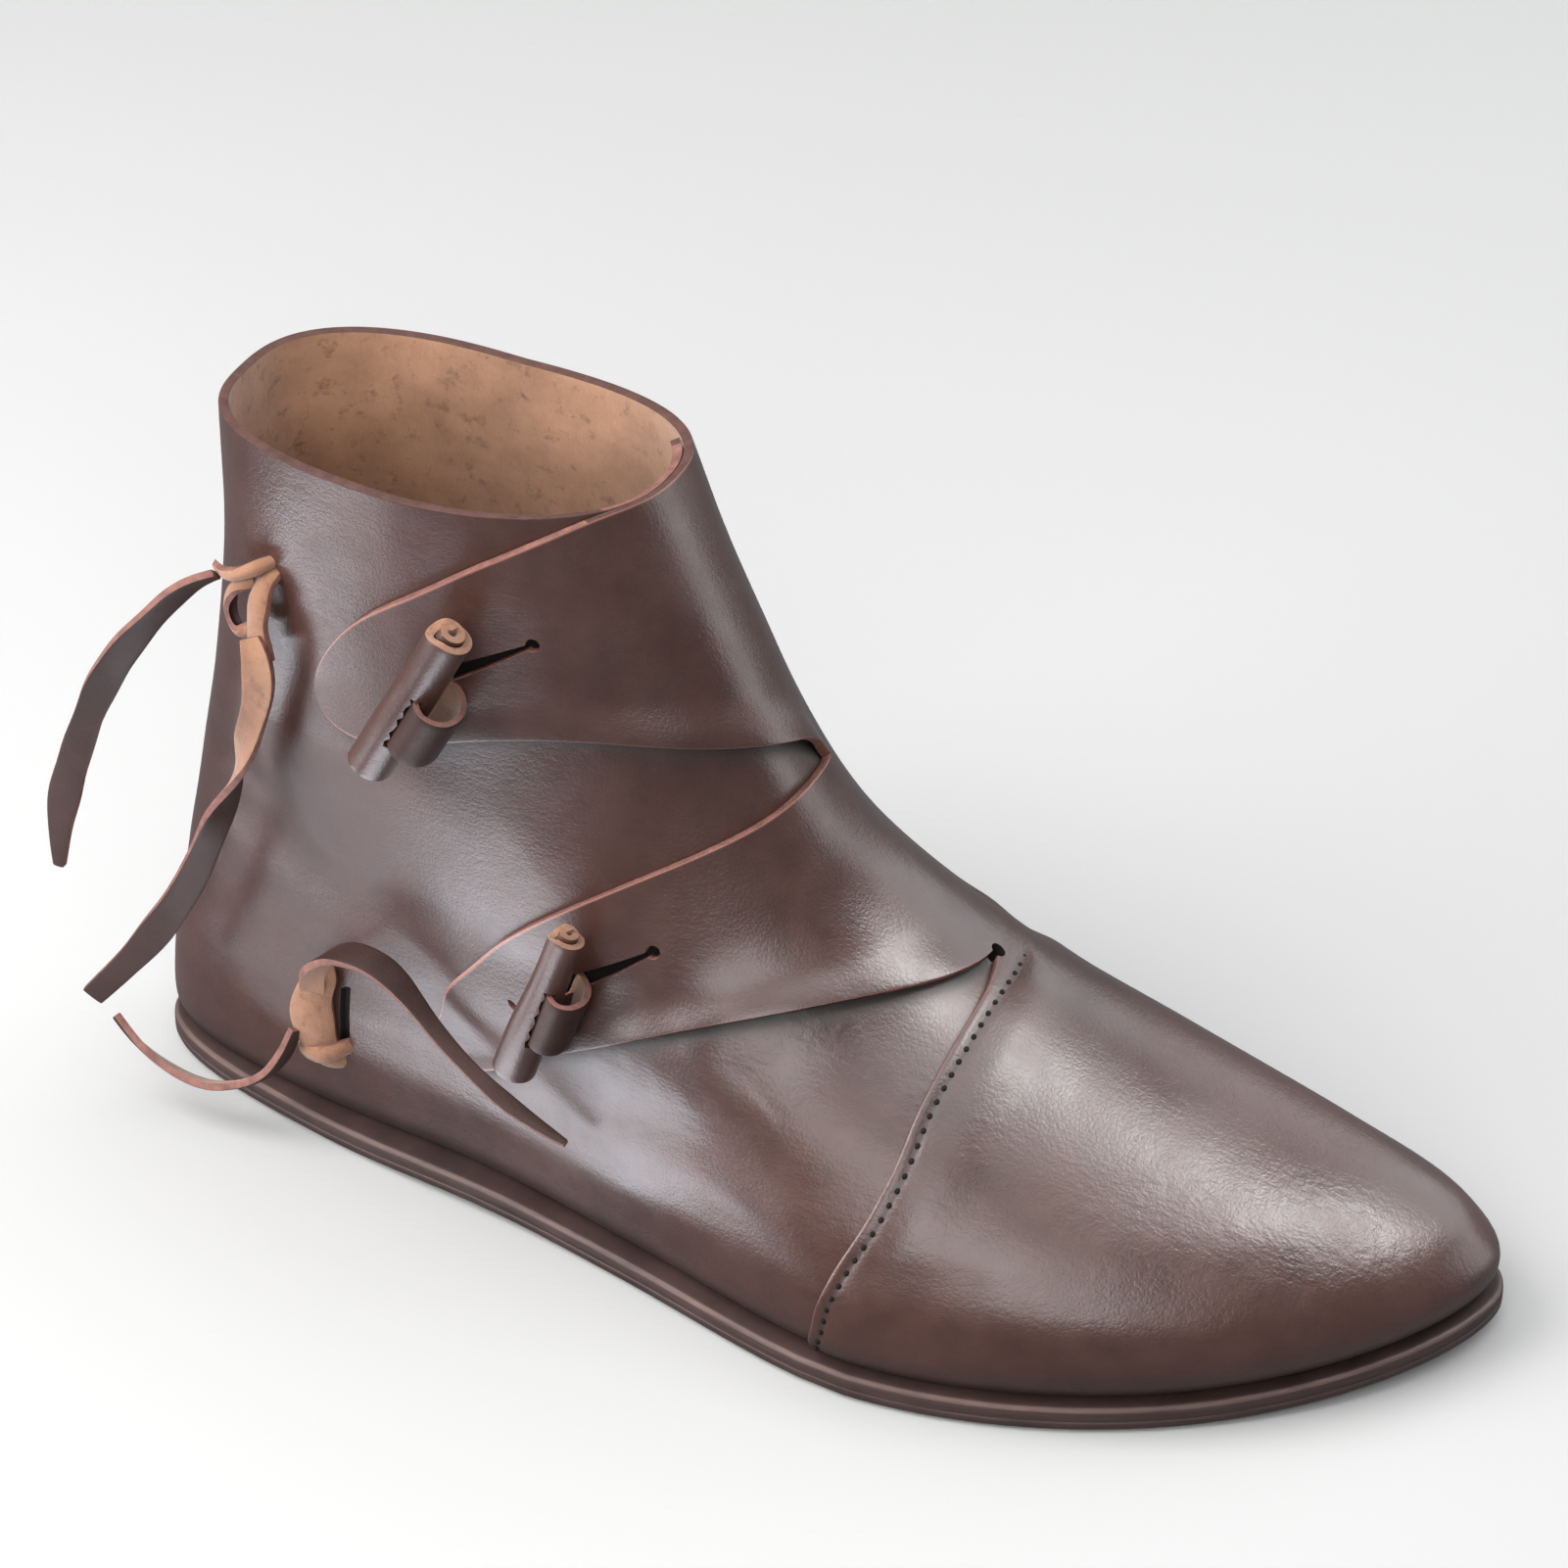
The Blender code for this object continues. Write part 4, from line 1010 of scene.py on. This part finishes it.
def flap_sheet(stations, heights, stand_off):
    """Outer and inner points of a flap, columns from root to tip, rows as at its root, and its rims."""
    even = [(to_even(p.low_turn, p.low), p.low, to_even(p.high_turn, p.high), p.high) for p in stations]
    low_turn, low, high_turn, high = along(even, FLAP_STEPS).T
    root_share = (heights - stations[0].low) / (stations[0].high - stations[0].low)
    s = np.linspace(0, 1, FLAP_STEPS)
    low_edge = skin(low, from_even(low_turn, low))
    high_edge = skin(high, from_even(high_turn, np.minimum(high, COLLAR_HEIGHT)))
    width = np.linalg.norm(high_edge - low_edge, axis=1)
    ends = np.r_[root_share[:3], root_share[-3:]]
    near = np.array(RIM_ROWS)
    columns = [np.interp(root_share, ends, np.r_[near / w, 1 - near[::-1] / w]) for w in width]
    free = ease(s, *ROOT)
    share = root_share[:, None] + (np.stack(columns, axis=1) - root_share[:, None]) * free
    z = low + (high - low) * share
    turns = low_turn + (high_turn - low_turn) * share
    root = to_even(seam_turn(heights), heights)[:, None]
    turns = turns + (root - turns[:, :1]) * (1 - free)
    z = z + (heights[:, None] - z[:, :1]) * (1 - free)
    turn = from_even(turns, np.minimum(z, COLLAR_HEIGHT))
    place = skin(z, turn)
    normal = outward(z, turn)
    out = relief(place) + GAP + FLAP - quarter_drop(turn, z) + raised(stand_off, s, share)
    outer = place + normal * out[..., None]
    low_rim = LOW_RIM_START + (1 - LOW_RIM_START) * ease(s, *LOW_RIM_GROWS)
    high_width = RIM_WIDTH * (1 + HIGH_RIM_WIDENING * ease(s, *HIGH_RIM_WIDENS))
    rim = np.maximum(low_rim * np.clip(1 - share * width / RIM_WIDTH, 0, 1),
                     np.clip(1 - (1 - share) * width / high_width, 0, 1))
    return outer, outer - normal * FLAP, rim


UPPER_ROUND = 0.3
UPPER_ROUND_ANGLE = 60.0
SHADED_COLLAR_FROM = (COLLAR_HEIGHT - 1.0) * MM


def make_upper():
    heights = sheet_heights()
    outer, inner, marks = main_sheet(heights)
    rows, columns = outer.shape[:2]
    index = np.arange(rows * columns).reshape(rows, columns)
    outers = [outer.reshape(-1, 3)]
    inners = [inner.reshape(-1, 3)]
    rims = [marks["rim"]]
    quads = [grid_faces(index, flip=True)]
    first = rows * columns
    for stations, stand_off in ((ANKLE_FLAP, ANKLE_STAND_OFF), (INSTEP_FLAP, INSTEP_STAND_OFF)):
        span = (heights >= stations[0].low - SAME_HEIGHT) & (heights <= stations[0].high + SAME_HEIGHT)
        flap_outer, flap_inner, rim = flap_sheet(stations, heights[span], stand_off)
        count = span.sum() * (FLAP_STEPS - 1)
        own = first + np.arange(count).reshape(span.sum(), FLAP_STEPS - 1)
        quads.append(grid_faces(np.column_stack([index[span, 0], own])))
        outers.append(flap_outer[:, 1:].reshape(-1, 3))
        inners.append(flap_inner[:, 1:].reshape(-1, 3))
        rims.append(rim[:, 1:].ravel())
        first += count
    points, faces, slots = walled(np.concatenate(outers), np.concatenate(inners), np.concatenate(quads))
    marks["rim"] = np.concatenate(rims)
    marks = {key: np.pad(values, (0, len(points) - len(values))) for key, values in marks.items()}
    materials = (UPPER_GRAIN, FLESH, EDGE, SHADED_COLLAR_EDGE)
    upper = add_piece("upper_leather", points, faces, materials, slots, marks)
    soften(upper, UPPER_ROUND, UPPER_ROUND_ANGLE, RIM_SLOT)
    cut(upper, upper_cutters())
    # Rim faces at the collar take the darker cut edge, painted shade
    for face in upper.data.polygons:
        if face.material_index == RIM_SLOT and face.center.z > SHADED_COLLAR_FROM:
            face.material_index = SHADED_COLLAR_SLOT
    return upper


def hole_cutter(hole):
    """A cutter that follows the quarter: a rounded slit about the hole's place."""
    turn = hole.turn
    z = hole.z
    ahead = np.array((hole.lean, 0.0, 1.0))
    normal = outward(z, turn)
    across = unit(across_skin(z, turn))
    up = np.cross(across, normal)
    up = up if up[2] > 0 else -up
    even = to_even(turn, z)
    step = 0.01
    sideways = skin(z, from_even(even + step, z)) - skin(z, from_even(even - step, z))
    per_turn = np.linalg.norm(sideways) / (2 * step)
    per_rise = np.linalg.norm(skin(z + 1.0, turn) - skin(z - 1.0, turn)) / 2
    angle = math.atan2(ahead @ up, ahead @ across)
    long, wide = round_outline(hole.length, hole.width).T
    aside = long * math.cos(angle) - wide * math.sin(angle)
    rise = long * math.sin(angle) + wide * math.cos(angle)
    heights = z + rise / per_rise
    turns = from_even(even + aside / per_turn, heights)
    stands = (HOLE_DEPTH, hole.pale, CUT_TOP)
    return dark_cutter(hole.name, np.stack([over_quarter(turns, heights, stand)[0] for stand in stands]))


def dark_cutter(name, rings):
    """A cutter through three rings, its cut painted shade below the middle one and pale above it."""
    points, faces = ring_stack(rings)
    sides = rings.shape[1]
    slots = [0 if sides <= k < 2 * sides else 1 for k in range(len(faces))]
    cutter = add_piece(name, points, faces, (EDGE, DARK), slots)
    outward_faces(cutter)
    return cutter


def slit_cutter(name, seat, near):
    """A cutter for a toggle's slit: bent with the quarter, from its round hole to under the toggle."""
    centre = toggle_frame(seat)[0]
    middle_turn = (seat.foot_turn + seat.head_turn) / 2
    ends = [(seat.hole_turn, seat.hole), (middle_turn, (seat.foot + seat.head) / 2)]
    places, normals = over_quarter(*surface_line(ends, 3), 0.0)
    hole, middle, _ = places
    length = np.linalg.norm(centre - hole)
    ahead = unit(centre - hole)
    out = unit(normals[1] - ahead * (normals[1] @ ahead))
    bow = (middle - hole) @ out
    outline = slit_outline(length + SLIT_OVERRUN, near)
    share = outline[:, :1] / length
    base = hole + outline[:, :1] * ahead + outline[:, 1:] * np.cross(out, ahead)
    base = base + 4 * bow * share * (1 - share) * out
    return dark_cutter(name, np.stack([base + stand * out for stand in (SLIT_DEPTH, SLIT_PALE, CUT_TOP)]))


def slit_outline(length, near):
    """A keyhole outline: from the far side of a round hole at 0, along a widening slit, and back."""
    turns = np.linspace(math.pi, 2 * math.pi - math.asin(SLIT_WIDTH / 2 / SLIT_HOLE), 8)
    rim = np.column_stack([np.cos(turns), np.sin(turns)]) * SLIT_HOLE
    steps = np.linspace(0.25, 1.0, 6)
    lower = np.column_stack([length * steps, -(SLIT_WIDTH + (near - SLIT_WIDTH) * steps) / 2])
    side = np.concatenate([rim, lower, [(length, 0.0)]])
    return np.concatenate([side, (side[1:-1] * (1, -1))[::-1]])


def round_outline(length, width):
    """A rounded slit of a length and width, or a round hole where both are alike."""
    turns = np.arange(HOLE_SIDES) * 2 * math.pi / HOLE_SIDES
    straight = np.sign(np.cos(turns)) * (length - width) / 2
    return np.column_stack([straight + np.cos(turns) * width / 2, np.sin(turns) * width / 2])


def upper_cutters():
    """Cutters for the flaps' slits, the holes that end them and the slits that the thongs go through."""
    slits = [slit_cutter("ankle_slit", ANKLE_SEAT, ANKLE_SLIT_WIDTH),
             slit_cutter("instep_slit", INSTEP_SEAT, INSTEP_SLIT_WIDTH)]
    return slits + [hole_cutter(hole) for hole in HOLES]


def toggle_frame(seat):
    """The middle of a toggle's seat on the quarter, the roll's axis, the way to the toe and the way out."""
    middle_turn = (seat.foot_turn + seat.head_turn) / 2
    turns = [seat.foot_turn, middle_turn, seat.head_turn]
    heights = [seat.foot, (seat.foot + seat.head) / 2, seat.head]
    places, normals = over_quarter(turns, heights, 0.0)
    axis = unit(places[2] - places[0])
    toeward = unit(np.cross(axis, normals[1]))
    return places[1], axis, toeward, np.cross(toeward, axis)


# Sole and insole

SOLE_COLUMNS = 260
# Rows of the sole's edge painted paler as highlight lines: the upper side of its groove and its rounded top
HIGHLIGHT_ROWS = (8, 12, 13)
EdgeRow = namedtuple("EdgeRow", "inset height")
SOLE_EDGE = table(
    EdgeRow,
    (3.2, 0.0), (1.5, 0.02), (0.8, 0.25), (0.3, 0.7), (0.05, 1.4), (0.0, 2.0), (0.04, 2.35),
    (0.22, 2.55), (0.22, 2.7), (0.03, 2.9), (0.0, 3.4), (0.02, 4.2), (0.12, 4.9), (0.4, 5.4),
    (0.9, 5.66), (1.6, 5.7), (4.5, 5.7),
)
INSOLE_EDGE = table(
    EdgeRow,
    (1.2, 0.0), (0.2, 0.3), (0.0, 0.9), (0.1, 1.5), (0.6, 1.9), (1.6, 2.0),
)


def plan_ring(offset, z):
    """The feather line's outline in plan, moved outwards, at height z over the lifted floor."""
    turn = np.arange(SOLE_COLUMNS) / SOLE_COLUMNS
    step = 0.003
    outline = skin(FEATHER, turn)
    tangent = skin(FEATHER, turn + step) - skin(FEATHER, turn - step)
    normal = unit(np.stack([-tangent[:, 1], tangent[:, 0]], axis=1))
    plan = outline[:, :2] + normal * np.broadcast_to(offset, turn.shape)[:, None]
    level = 1 - FEATHER / LEVEL_FROM
    return np.column_stack([plan, z + lift(plan[:, 0]) * level])


def make_outsole():
    turn = np.arange(SOLE_COLUMNS) / SOLE_COLUMNS
    ledge = np.full(SOLE_COLUMNS, LEDGE)
    for swell in LEDGE_SWELLS:
        ledge += swell.size * bell(turn - swell.turn, swell.reach)
    rings = np.stack([plan_ring(ledge - row.inset, row.height) for row in SOLE_EDGE])
    points, faces = ring_stack(rings)
    slots = [1 if k // SOLE_COLUMNS in HIGHLIGHT_ROWS else 0 for k in range(len(faces))]
    sole = add_piece("sole_edge_and_tread", points, faces, (SOLE, SOLE_RIM_HIGHLIGHT), slots)
    outward_faces(sole)
    return sole


def make_insole():
    rings = np.stack([plan_ring(-INSOLE_INSET - row.inset, FEATHER + row.height) for row in INSOLE_EDGE])
    insole = add_piece("insole_sock", *ring_stack(rings), (FLESH,))
    outward_faces(insole)
    return insole


# Stitches of the vamp seam

STITCH_SIZE = (0.68, 0.56, 0.42)
STITCH_PITCH = 3.2
FIRST_STITCH = 0.8
STITCH_STAND = 0.1


def make_stitches():
    turns, heights = surface_line(STITCH_LINE, 2 * STITCH_POINTS)
    line = skin(heights, turns)
    run = run_along(line)
    places = np.arange(FIRST_STITCH, run[-1], STITCH_PITCH)
    turn = np.interp(places, run, turns)
    z = np.interp(places, run, heights)
    centre = skin(z, turn)
    normal = outward(z, turn)
    ahead = np.stack([np.interp(places, run, step) for step in np.gradient(line, axis=0).T], axis=1)
    inside = unit(np.cross(normal, ahead))
    ahead = np.cross(inside, normal)
    stand = relief(centre) * ease(z, FEATHER, FULL_RELIEF_AT) - GROOVE_DEPTH + STITCH_STAND
    centre += normal * stand[:, None]
    ball = bmesh.new()
    bmesh.ops.create_icosphere(ball, subdivisions=2, radius=1.0)
    shape = np.array([v.co[:] for v in ball.verts]) * STITCH_SIZE
    tris = np.array([[v.index for v in f.verts] for f in ball.faces])
    ball.free()
    points = []
    faces = []
    for k in range(len(places)):
        points.append(centre[k] + shape @ np.stack([ahead[k], inside[k], normal[k]]))
        faces.append(tris + k * len(shape))
    return add_piece("seam_stitches", np.concatenate(points), np.concatenate(faces), (DARK,))


# Toggles

ROLL_WALL = 1.75
ROLL_PITCH = 2.0
ROLL_TURNS = 2.1
ROLL_START = math.radians(250)
ROLL_STEPS = 120
ROLL_ROWS = 40
ROLL_EYE = 0.15
ROLL_ROUND = 0.25
LOOP_THICKNESS = 1.4
LOOP_STEPS = 48

# The roll's head: the core stands out, the strip's outer corner is set back, and the outer turn is cut
# lower at the rear
HEAD = (0.32, 0.5)
CORE_STAND = 2.0
CORE_RISE = 0.7
CORNER_BACK = 1.4
CORNER_REACH = 0.9
REAR_CUT = 2.0
REAR = math.radians(165)
OUTER_TURN = (5.2, 6.2)

# The roll's uneven girth, and the lip at the strip's outer end
ROLL_TAPER = (-0.4, 0.4)
ROLL_SWELL = 0.025
ROLL_SWELL_LENGTH = 4.0
ROLL_SWELL_TURN = 0.7
LIP = 0.3
LIP_REACH = 0.35

# The slot that the strip's tail comes out of: half width, its unevenness, and its reach from the axis
SLOT_STEPS = 12
SLOT_HALF = 1.2
SLOT_UNEVEN = 0.4
SLOT_WAVE = 2.4
SLOT_MARGIN = 0.7
SLOT_FROM = 1.2
SLOT_TO = 8.0
Toggle = namedtuple("Toggle", "kind seat radius taper slot_angle strip_low strip_high route")
TOGGLES = (
    Toggle("ankle", ANKLE_SEAT, 5.7, 0.04, 58, -8.6, 4.2, (
        (1.0, 1.6), (2.3, 3.7), (4.0, 5.2), (6.4, 5.3), (8.8, 3.7), (10.0, 0.8), (9.8, -2.6), (8.0, -5.6),
        (5.2, -7.4), (2.4, -8.5))),
    Toggle("instep", INSTEP_SEAT, 5.4, 0.2, 40, -7.6, 5.6, (
        (1.4, 1.2), (3.2, 2.7), (5.2, 3.0), (7.0, 1.6), (7.8, -0.8), (7.6, -3.4), (6.4, -5.8), (4.6, -7.3),
        (2.2, -8.5))),
)


def make_roll(toggle):
    """A strip rolled up into a button, its core standing out at the head, with a slot for its own tail."""
    seat = toggle.seat
    centre, axis, toeward, normal = toggle_frame(seat)
    middle = centre + normal * TOGGLE_STAND
    angle = np.linspace(0, ROLL_TURNS * 2 * math.pi, ROLL_STEPS)
    radius = toggle.radius - ROLL_WALL / 2 - ROLL_PITCH * angle / (2 * math.pi)
    radius = np.maximum(radius, ROLL_WALL / 2 + ROLL_EYE)
    place = np.linspace(-0.5, 0.5, ROLL_ROWS) * seat.length
    way = np.cos(angle + ROLL_START)[:, None] * toeward + np.sin(angle + ROLL_START)[:, None] * normal
    at_head = ease(place, HEAD[0] * seat.length, HEAD[1] * seat.length)[:, None]
    core = CORE_STAND * (angle / angle[-1]) ** CORE_RISE - CORNER_BACK * np.exp(-angle / CORNER_REACH)
    rearward = np.clip(np.cos(angle + ROLL_START - REAR), 0, 1) ** 2
    core -= REAR_CUT * rearward * (1 - ease(angle, *OUTER_TURN))
    long = place[:, None] + core * at_head
    tapering = ease(place, ROLL_TAPER[0] * seat.length, ROLL_TAPER[1] * seat.length)[:, None]
    wave = np.sin(place / ROLL_SWELL_LENGTH)[:, None] * np.cos(angle * ROLL_SWELL_TURN)
    swell = (1 - toggle.taper * tapering) * (1 + ROLL_SWELL * wave)

    def face(offset):
        size = (radius + LIP * np.exp(-angle / LIP_REACH) + offset) * swell
        return middle + long[..., None] * axis + size[..., None] * way

    points, faces, slots = strip_wall(face(ROLL_WALL / 2), face(-ROLL_WALL / 2))
    materials = (TOGGLE_GRAIN, THONG_FLESH, THONG_FLESH)
    roll = add_piece(toggle.kind + "_toggle_roll", points, faces, materials, slots)
    outward_faces(roll)
    soften(roll, ROLL_ROUND)
    slot = math.radians(toggle.slot_angle)
    out = math.cos(slot) * toeward + math.sin(slot) * normal
    side = np.cross(axis, out)
    half = SLOT_HALF + SLOT_UNEVEN * np.sin(np.arange(SLOT_STEPS) * SLOT_WAVE)
    steps = np.linspace(toggle.strip_low - SLOT_MARGIN, toggle.strip_high + SLOT_MARGIN, SLOT_STEPS)
    rim = np.concatenate([np.column_stack([steps, half]), np.column_stack([steps, -half])[::-1]])
    ring = middle + rim[:, :1] * axis + rim[:, 1:] * side
    rings = np.stack([ring + SLOT_FROM * out, ring + SLOT_TO * out])
    cutter = add_piece("slot", *ring_stack(rings), (TOGGLE_GRAIN,))
    outward_faces(cutter)
    cut(roll, [cutter])
    return roll


def make_loop(toggle):
    """The strip's tail: out of the roll's slot, round in a loop and down through the flap's slit."""
    centre, axis, toeward, normal = toggle_frame(toggle.seat)
    rows = along(toggle.route, LOOP_STEPS)
    path = centre + rows[:, :1] * toeward + (rows[:, 1:] + TOGGLE_STAND) * normal
    width = np.full(len(path), toggle.strip_high - toggle.strip_low)
    middle = path + axis * (toggle.strip_high + toggle.strip_low) / 2
    ahead = unit(np.gradient(path, axis=0))
    flat = np.cross(ahead, axis)
    flat *= np.sign(flat[:1] @ normal)
    wall = strip(middle, np.broadcast_to(axis, path.shape), flat, width, LOOP_THICKNESS)
    return strip_piece(toggle.kind + "_toggle_loop", wall)


# Thongs and knots

STRIP_COLUMNS = 9
STRIP_ROUND = 0.3
OUTER_SIDE = (0.0, -1.0, 0.0)
THONG_CUP = 0.15
KNOT_RINGS = 60
KNOT_THICKNESS = 1.3
KNOT_CUP = -0.9

# Unevenly cut widths: height, length in rings and phase of each wave. A knot's strips differ in phase.
THONG_WAVES = ((0.05, 5.0, 0.0), (0.03, 2.3, 1.0))
KNOT_WAVE = (0.06, 3.7)


def cut_widths(count, waves):
    """Factors for the width of an unevenly cut strip, ring by ring."""
    factors = np.ones(count)
    for height, length, phase in waves:
        factors += height * np.sin(np.arange(count) / length + phase)
    return factors


def strip(path, across, flat, width, thickness, cup=0.0):
    """Wall of a strip along a path: its grain side towards flat, its edges turned back by the cup."""
    u = np.linspace(-0.5, 0.5, STRIP_COLUMNS)
    bow = cup * (4 * u * u - 0.5)
    base = path[:, None] + across[:, None] * (width[:, None] * u)[..., None] - flat[:, None] * bow[:, None]
    half = flat[:, None] * thickness / 2
    return strip_wall(base + half, base - half)


def strip_piece(name, *strips):
    """One piece from the walls of several strips."""
    points = []
    faces = []
    slots = []
    for own_points, own_faces, own_slots in strips:
        first = sum(len(p) for p in points)
        points.append(own_points)
        faces += [tuple(first + int(i) for i in face) for face in own_faces]
        slots += own_slots
    piece = add_piece(name, np.concatenate(points), faces, (THONG_GRAIN, THONG_FLESH, EDGE), slots)
    outward_faces(piece)
    soften(piece, STRIP_ROUND)
    return piece


def rolled(path, outside, roll):
    """Directions across a strip and out of its grain side, which faces outside where roll is 0."""
    ahead = unit(np.gradient(path, axis=0))
    side = unit(np.cross(ahead, outside))
    face = np.cross(side, ahead)
    roll = np.radians(roll)[:, None]
    return side * np.cos(roll) + face * np.sin(roll), face * np.cos(roll) - side * np.sin(roll)


def make_thong(name, route):
    """A flat strip, grain on one side and flesh on the other, slightly cupped and unevenly cut."""
    rows = along(route, THONG_RINGS)
    path = rows[:, :3]
    across, flat = rolled(path, OUTER_SIDE, rows[:, 4])
    width = rows[:, 3] * cut_widths(THONG_RINGS, THONG_WAVES)
    return strip_piece(name, strip(path, across, flat, width, THONG_THICKNESS, THONG_CUP)), path


def make_knot(name, routes):
    """Strips wound through the quarter and round each other, mostly flesh side out."""
    strips = []
    for route in routes:
        rows = along(route, KNOT_RINGS)
        path, outside = over_quarter(rows[:, 0], rows[:, 1], rows[:, 2])
        across, flat = rolled(path, outside, rows[:, 4])
        width = rows[:, 3] * cut_widths(KNOT_RINGS, [(*KNOT_WAVE, len(strips))])
        strips.append(strip(path, across, flat, width, KNOT_THICKNESS, KNOT_CUP))
    return strip_piece(name, *strips)


# Dressing the frame

def dress():
    upper = make_upper()
    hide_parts("upper", "ankle_flap", "instep_flap")
    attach(upper, "root")
    sole = make_outsole()
    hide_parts("outsole")
    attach(sole, "root")
    insole = make_insole()
    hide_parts("insole")
    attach(insole, "root")
    stitches = make_stitches()
    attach(stitches, "root")
    for toggle in TOGGLES:
        roll = make_roll(toggle)
        loop = make_loop(toggle)
        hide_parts(toggle.kind + "_toggle")
        for piece in (roll, loop):
            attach(piece, "root")
    ankle_knot = (ANKLE_KNOT_HEAD, ANKLE_KNOT_RING, ANKLE_KNOT_CROSS)
    ties = (("ankle", ankle_knot, ANKLE_TAIL_LONG, ANKLE_TAIL_SHORT),
            ("heel", (HEEL_KNOT, HEEL_KNOT_TURN), HEEL_TAIL_LONG, HEEL_TAIL_SHORT))
    for kind, knot_routes, long_route, short_route in ties:
        knot = make_knot(kind + "_knot_wrap", knot_routes)
        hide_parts(kind + "_knot")
        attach(knot, "root")
        for end, route in (("long", long_route), ("short", short_route)):
            tail, path = make_thong(f"{kind}_thong_{end}", route)
            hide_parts(f"{kind}_tail_{end}")
            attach(tail, "root")


# Stage

WARM = (1.0, 0.99, 0.98)
COOL = (0.98, 0.99, 1.0)
DAYLIGHT = (0.97, 0.98, 1.0)
GLEAM = (0.88, 0.92, 1.0)

# Soft lights: place and target in metres, width and height, power, colour, and whether the light falls on
# surfaces or only shows in their gloss
Lamp = namedtuple("Lamp", "name place target width height power colour falls")
LAMPS = (
    Lamp("key_softbox", (-0.62, -0.45, 0.95), (-0.05, -0.05, 0.05), 0.8, 0.8, 16, WARM, True),
    Lamp("low_window", (-0.85, -0.62, 0.32), (-0.03, -0.02, 0.10), 0.8, 0.55, 10, COOL, True),
    Lamp("front_fill", (0.35, -1.0, 0.80), (0.0, 0.0, 0.06), 0.8, 0.8, 10, WHITE, True),
    Lamp("overhead_softbox", (0.05, 0.10, 1.35), (0.03, 0.0, 0.0), 1.3, 1.1, 12, WHITE, True),
    Lamp("far_window", (0.55, 0.95, 0.55), (0.05, 0.0, 0.06), 0.9, 0.7, 5, DAYLIGHT, True),
    Lamp("toe_softbox", (0.67, 0.34, 0.97), (0.13, 0.0, 0.03), 0.45, 0.45, 10, WHITE, False),
    Lamp("ridge_window", (0.9, 0.55, 0.12), (0.0, 0.0, 0.12), 0.45, 0.45, 1.7, WHITE, False),
)

# Patches of bright floor that only show in the gloss: place, size, turn from the x axis, and power
Patch = namedtuple("Patch", "name x y length width turn power")
PATCHES = (
    Patch("floor_gleam_rear", -0.24, -0.125, 0.13, 0.06, -57, 0.20),
    Patch("floor_gleam_middle", -0.16, -0.09, 0.08, 0.10, 0, 0.04),
    Patch("floor_gleam_side", -0.075, -0.115, 0.09, 0.12, 0, 0.22),
)
PATCH_HEIGHT = 0.001
SUN_POWER = 0.5
SUN_ANGLE = math.radians(80)
FLOOR_SIZE = 15.0
FLOOR_DROP = -0.0002
FLOOR_COLOUR = (0.40, 0.40, 0.397, 1.0)
FLOOR_ROUGHNESS = 0.9
SKY_COLOUR = (0.93, 0.95, 1.0, 1.0)
SKY_STRENGTH = 0.3

# The photograph's camera: its angles, distance and target in metres, sensor and lens in millimetres
AZIMUTH = math.radians(25.0)
ELEVATION = math.radians(35.0)
DISTANCE = 1.1
TARGET = Vector((-0.008, 0.0255, 0.080))
SENSOR = 36.0
LENS = 125.2


def look_at(thing, place, target):
    thing.location = place
    thing.rotation_euler = (Vector(target) - Vector(place)).to_track_quat("-Z", "Y").to_euler()


def area_light(lamp):
    """A rectangular soft light that isn't seen itself."""
    light = bpy.data.lights.new(lamp.name, "AREA")
    light.shape = "RECTANGLE"
    light.size = lamp.width
    light.size_y = lamp.height
    light.energy = lamp.power
    light.color = lamp.colour
    made = add_object(lamp.name, light)
    made.visible_camera = False
    made.visible_diffuse = lamp.falls
    look_at(made, lamp.place, lamp.target)
    return made


def make_floor():
    corners = [(-1, -1), (1, -1), (1, 1), (-1, 1)]
    mesh = bpy.data.meshes.new("floor")
    mesh.from_pydata([(x * FLOOR_SIZE, y * FLOOR_SIZE, 0.0) for x, y in corners], [], [(0, 1, 2, 3)])
    floor = add_object("floor", mesh)
    floor.location.z = FLOOR_DROP
    floor.visible_glossy = False
    material, tree, shader = new_material("floor_paper")
    feed(tree, shader, {"Base Color": FLOOR_COLOUR, "Roughness": FLOOR_ROUGHNESS})
    mesh.materials.append(material)


def make_lights():
    world = bpy.data.worlds.new("studio")
    world.use_nodes = True
    bpy.context.scene.world = world
    backdrop = world.node_tree.nodes["Background"]
    feed(world.node_tree, backdrop, {"Color": SKY_COLOUR, "Strength": SKY_STRENGTH})
    for lamp in LAMPS:
        area_light(lamp)
    for patch in PATCHES:
        place = (patch.x, patch.y, PATCH_HEIGHT)
        above = (patch.x, patch.y, 1.0)
        made = area_light(
            Lamp(patch.name, place, above, patch.length, patch.width, patch.power, GLEAM, False))
        made.rotation_euler = (math.pi, 0.0, math.radians(patch.turn))
    sun = bpy.data.lights.new("high_ceiling", "SUN")
    sun.energy = SUN_POWER
    sun.angle = SUN_ANGLE
    add_object("high_ceiling", sun)


def make_camera():
    level = math.cos(ELEVATION)
    back = Vector((math.sin(AZIMUTH) * level, -math.cos(AZIMUTH) * level, math.sin(ELEVATION)))
    lens = bpy.data.cameras.new("photo_camera")
    lens.sensor_width = SENSOR
    lens.lens = LENS
    camera = add_object("photo_camera", lens)
    look_at(camera, TARGET + DISTANCE * back, TARGET)
    bpy.context.scene.camera = camera


make_camera()
make_floor()
make_lights()
dress()
bpy.context.scene.view_settings.view_transform = "Standard"
bpy.context.view_layer.update()
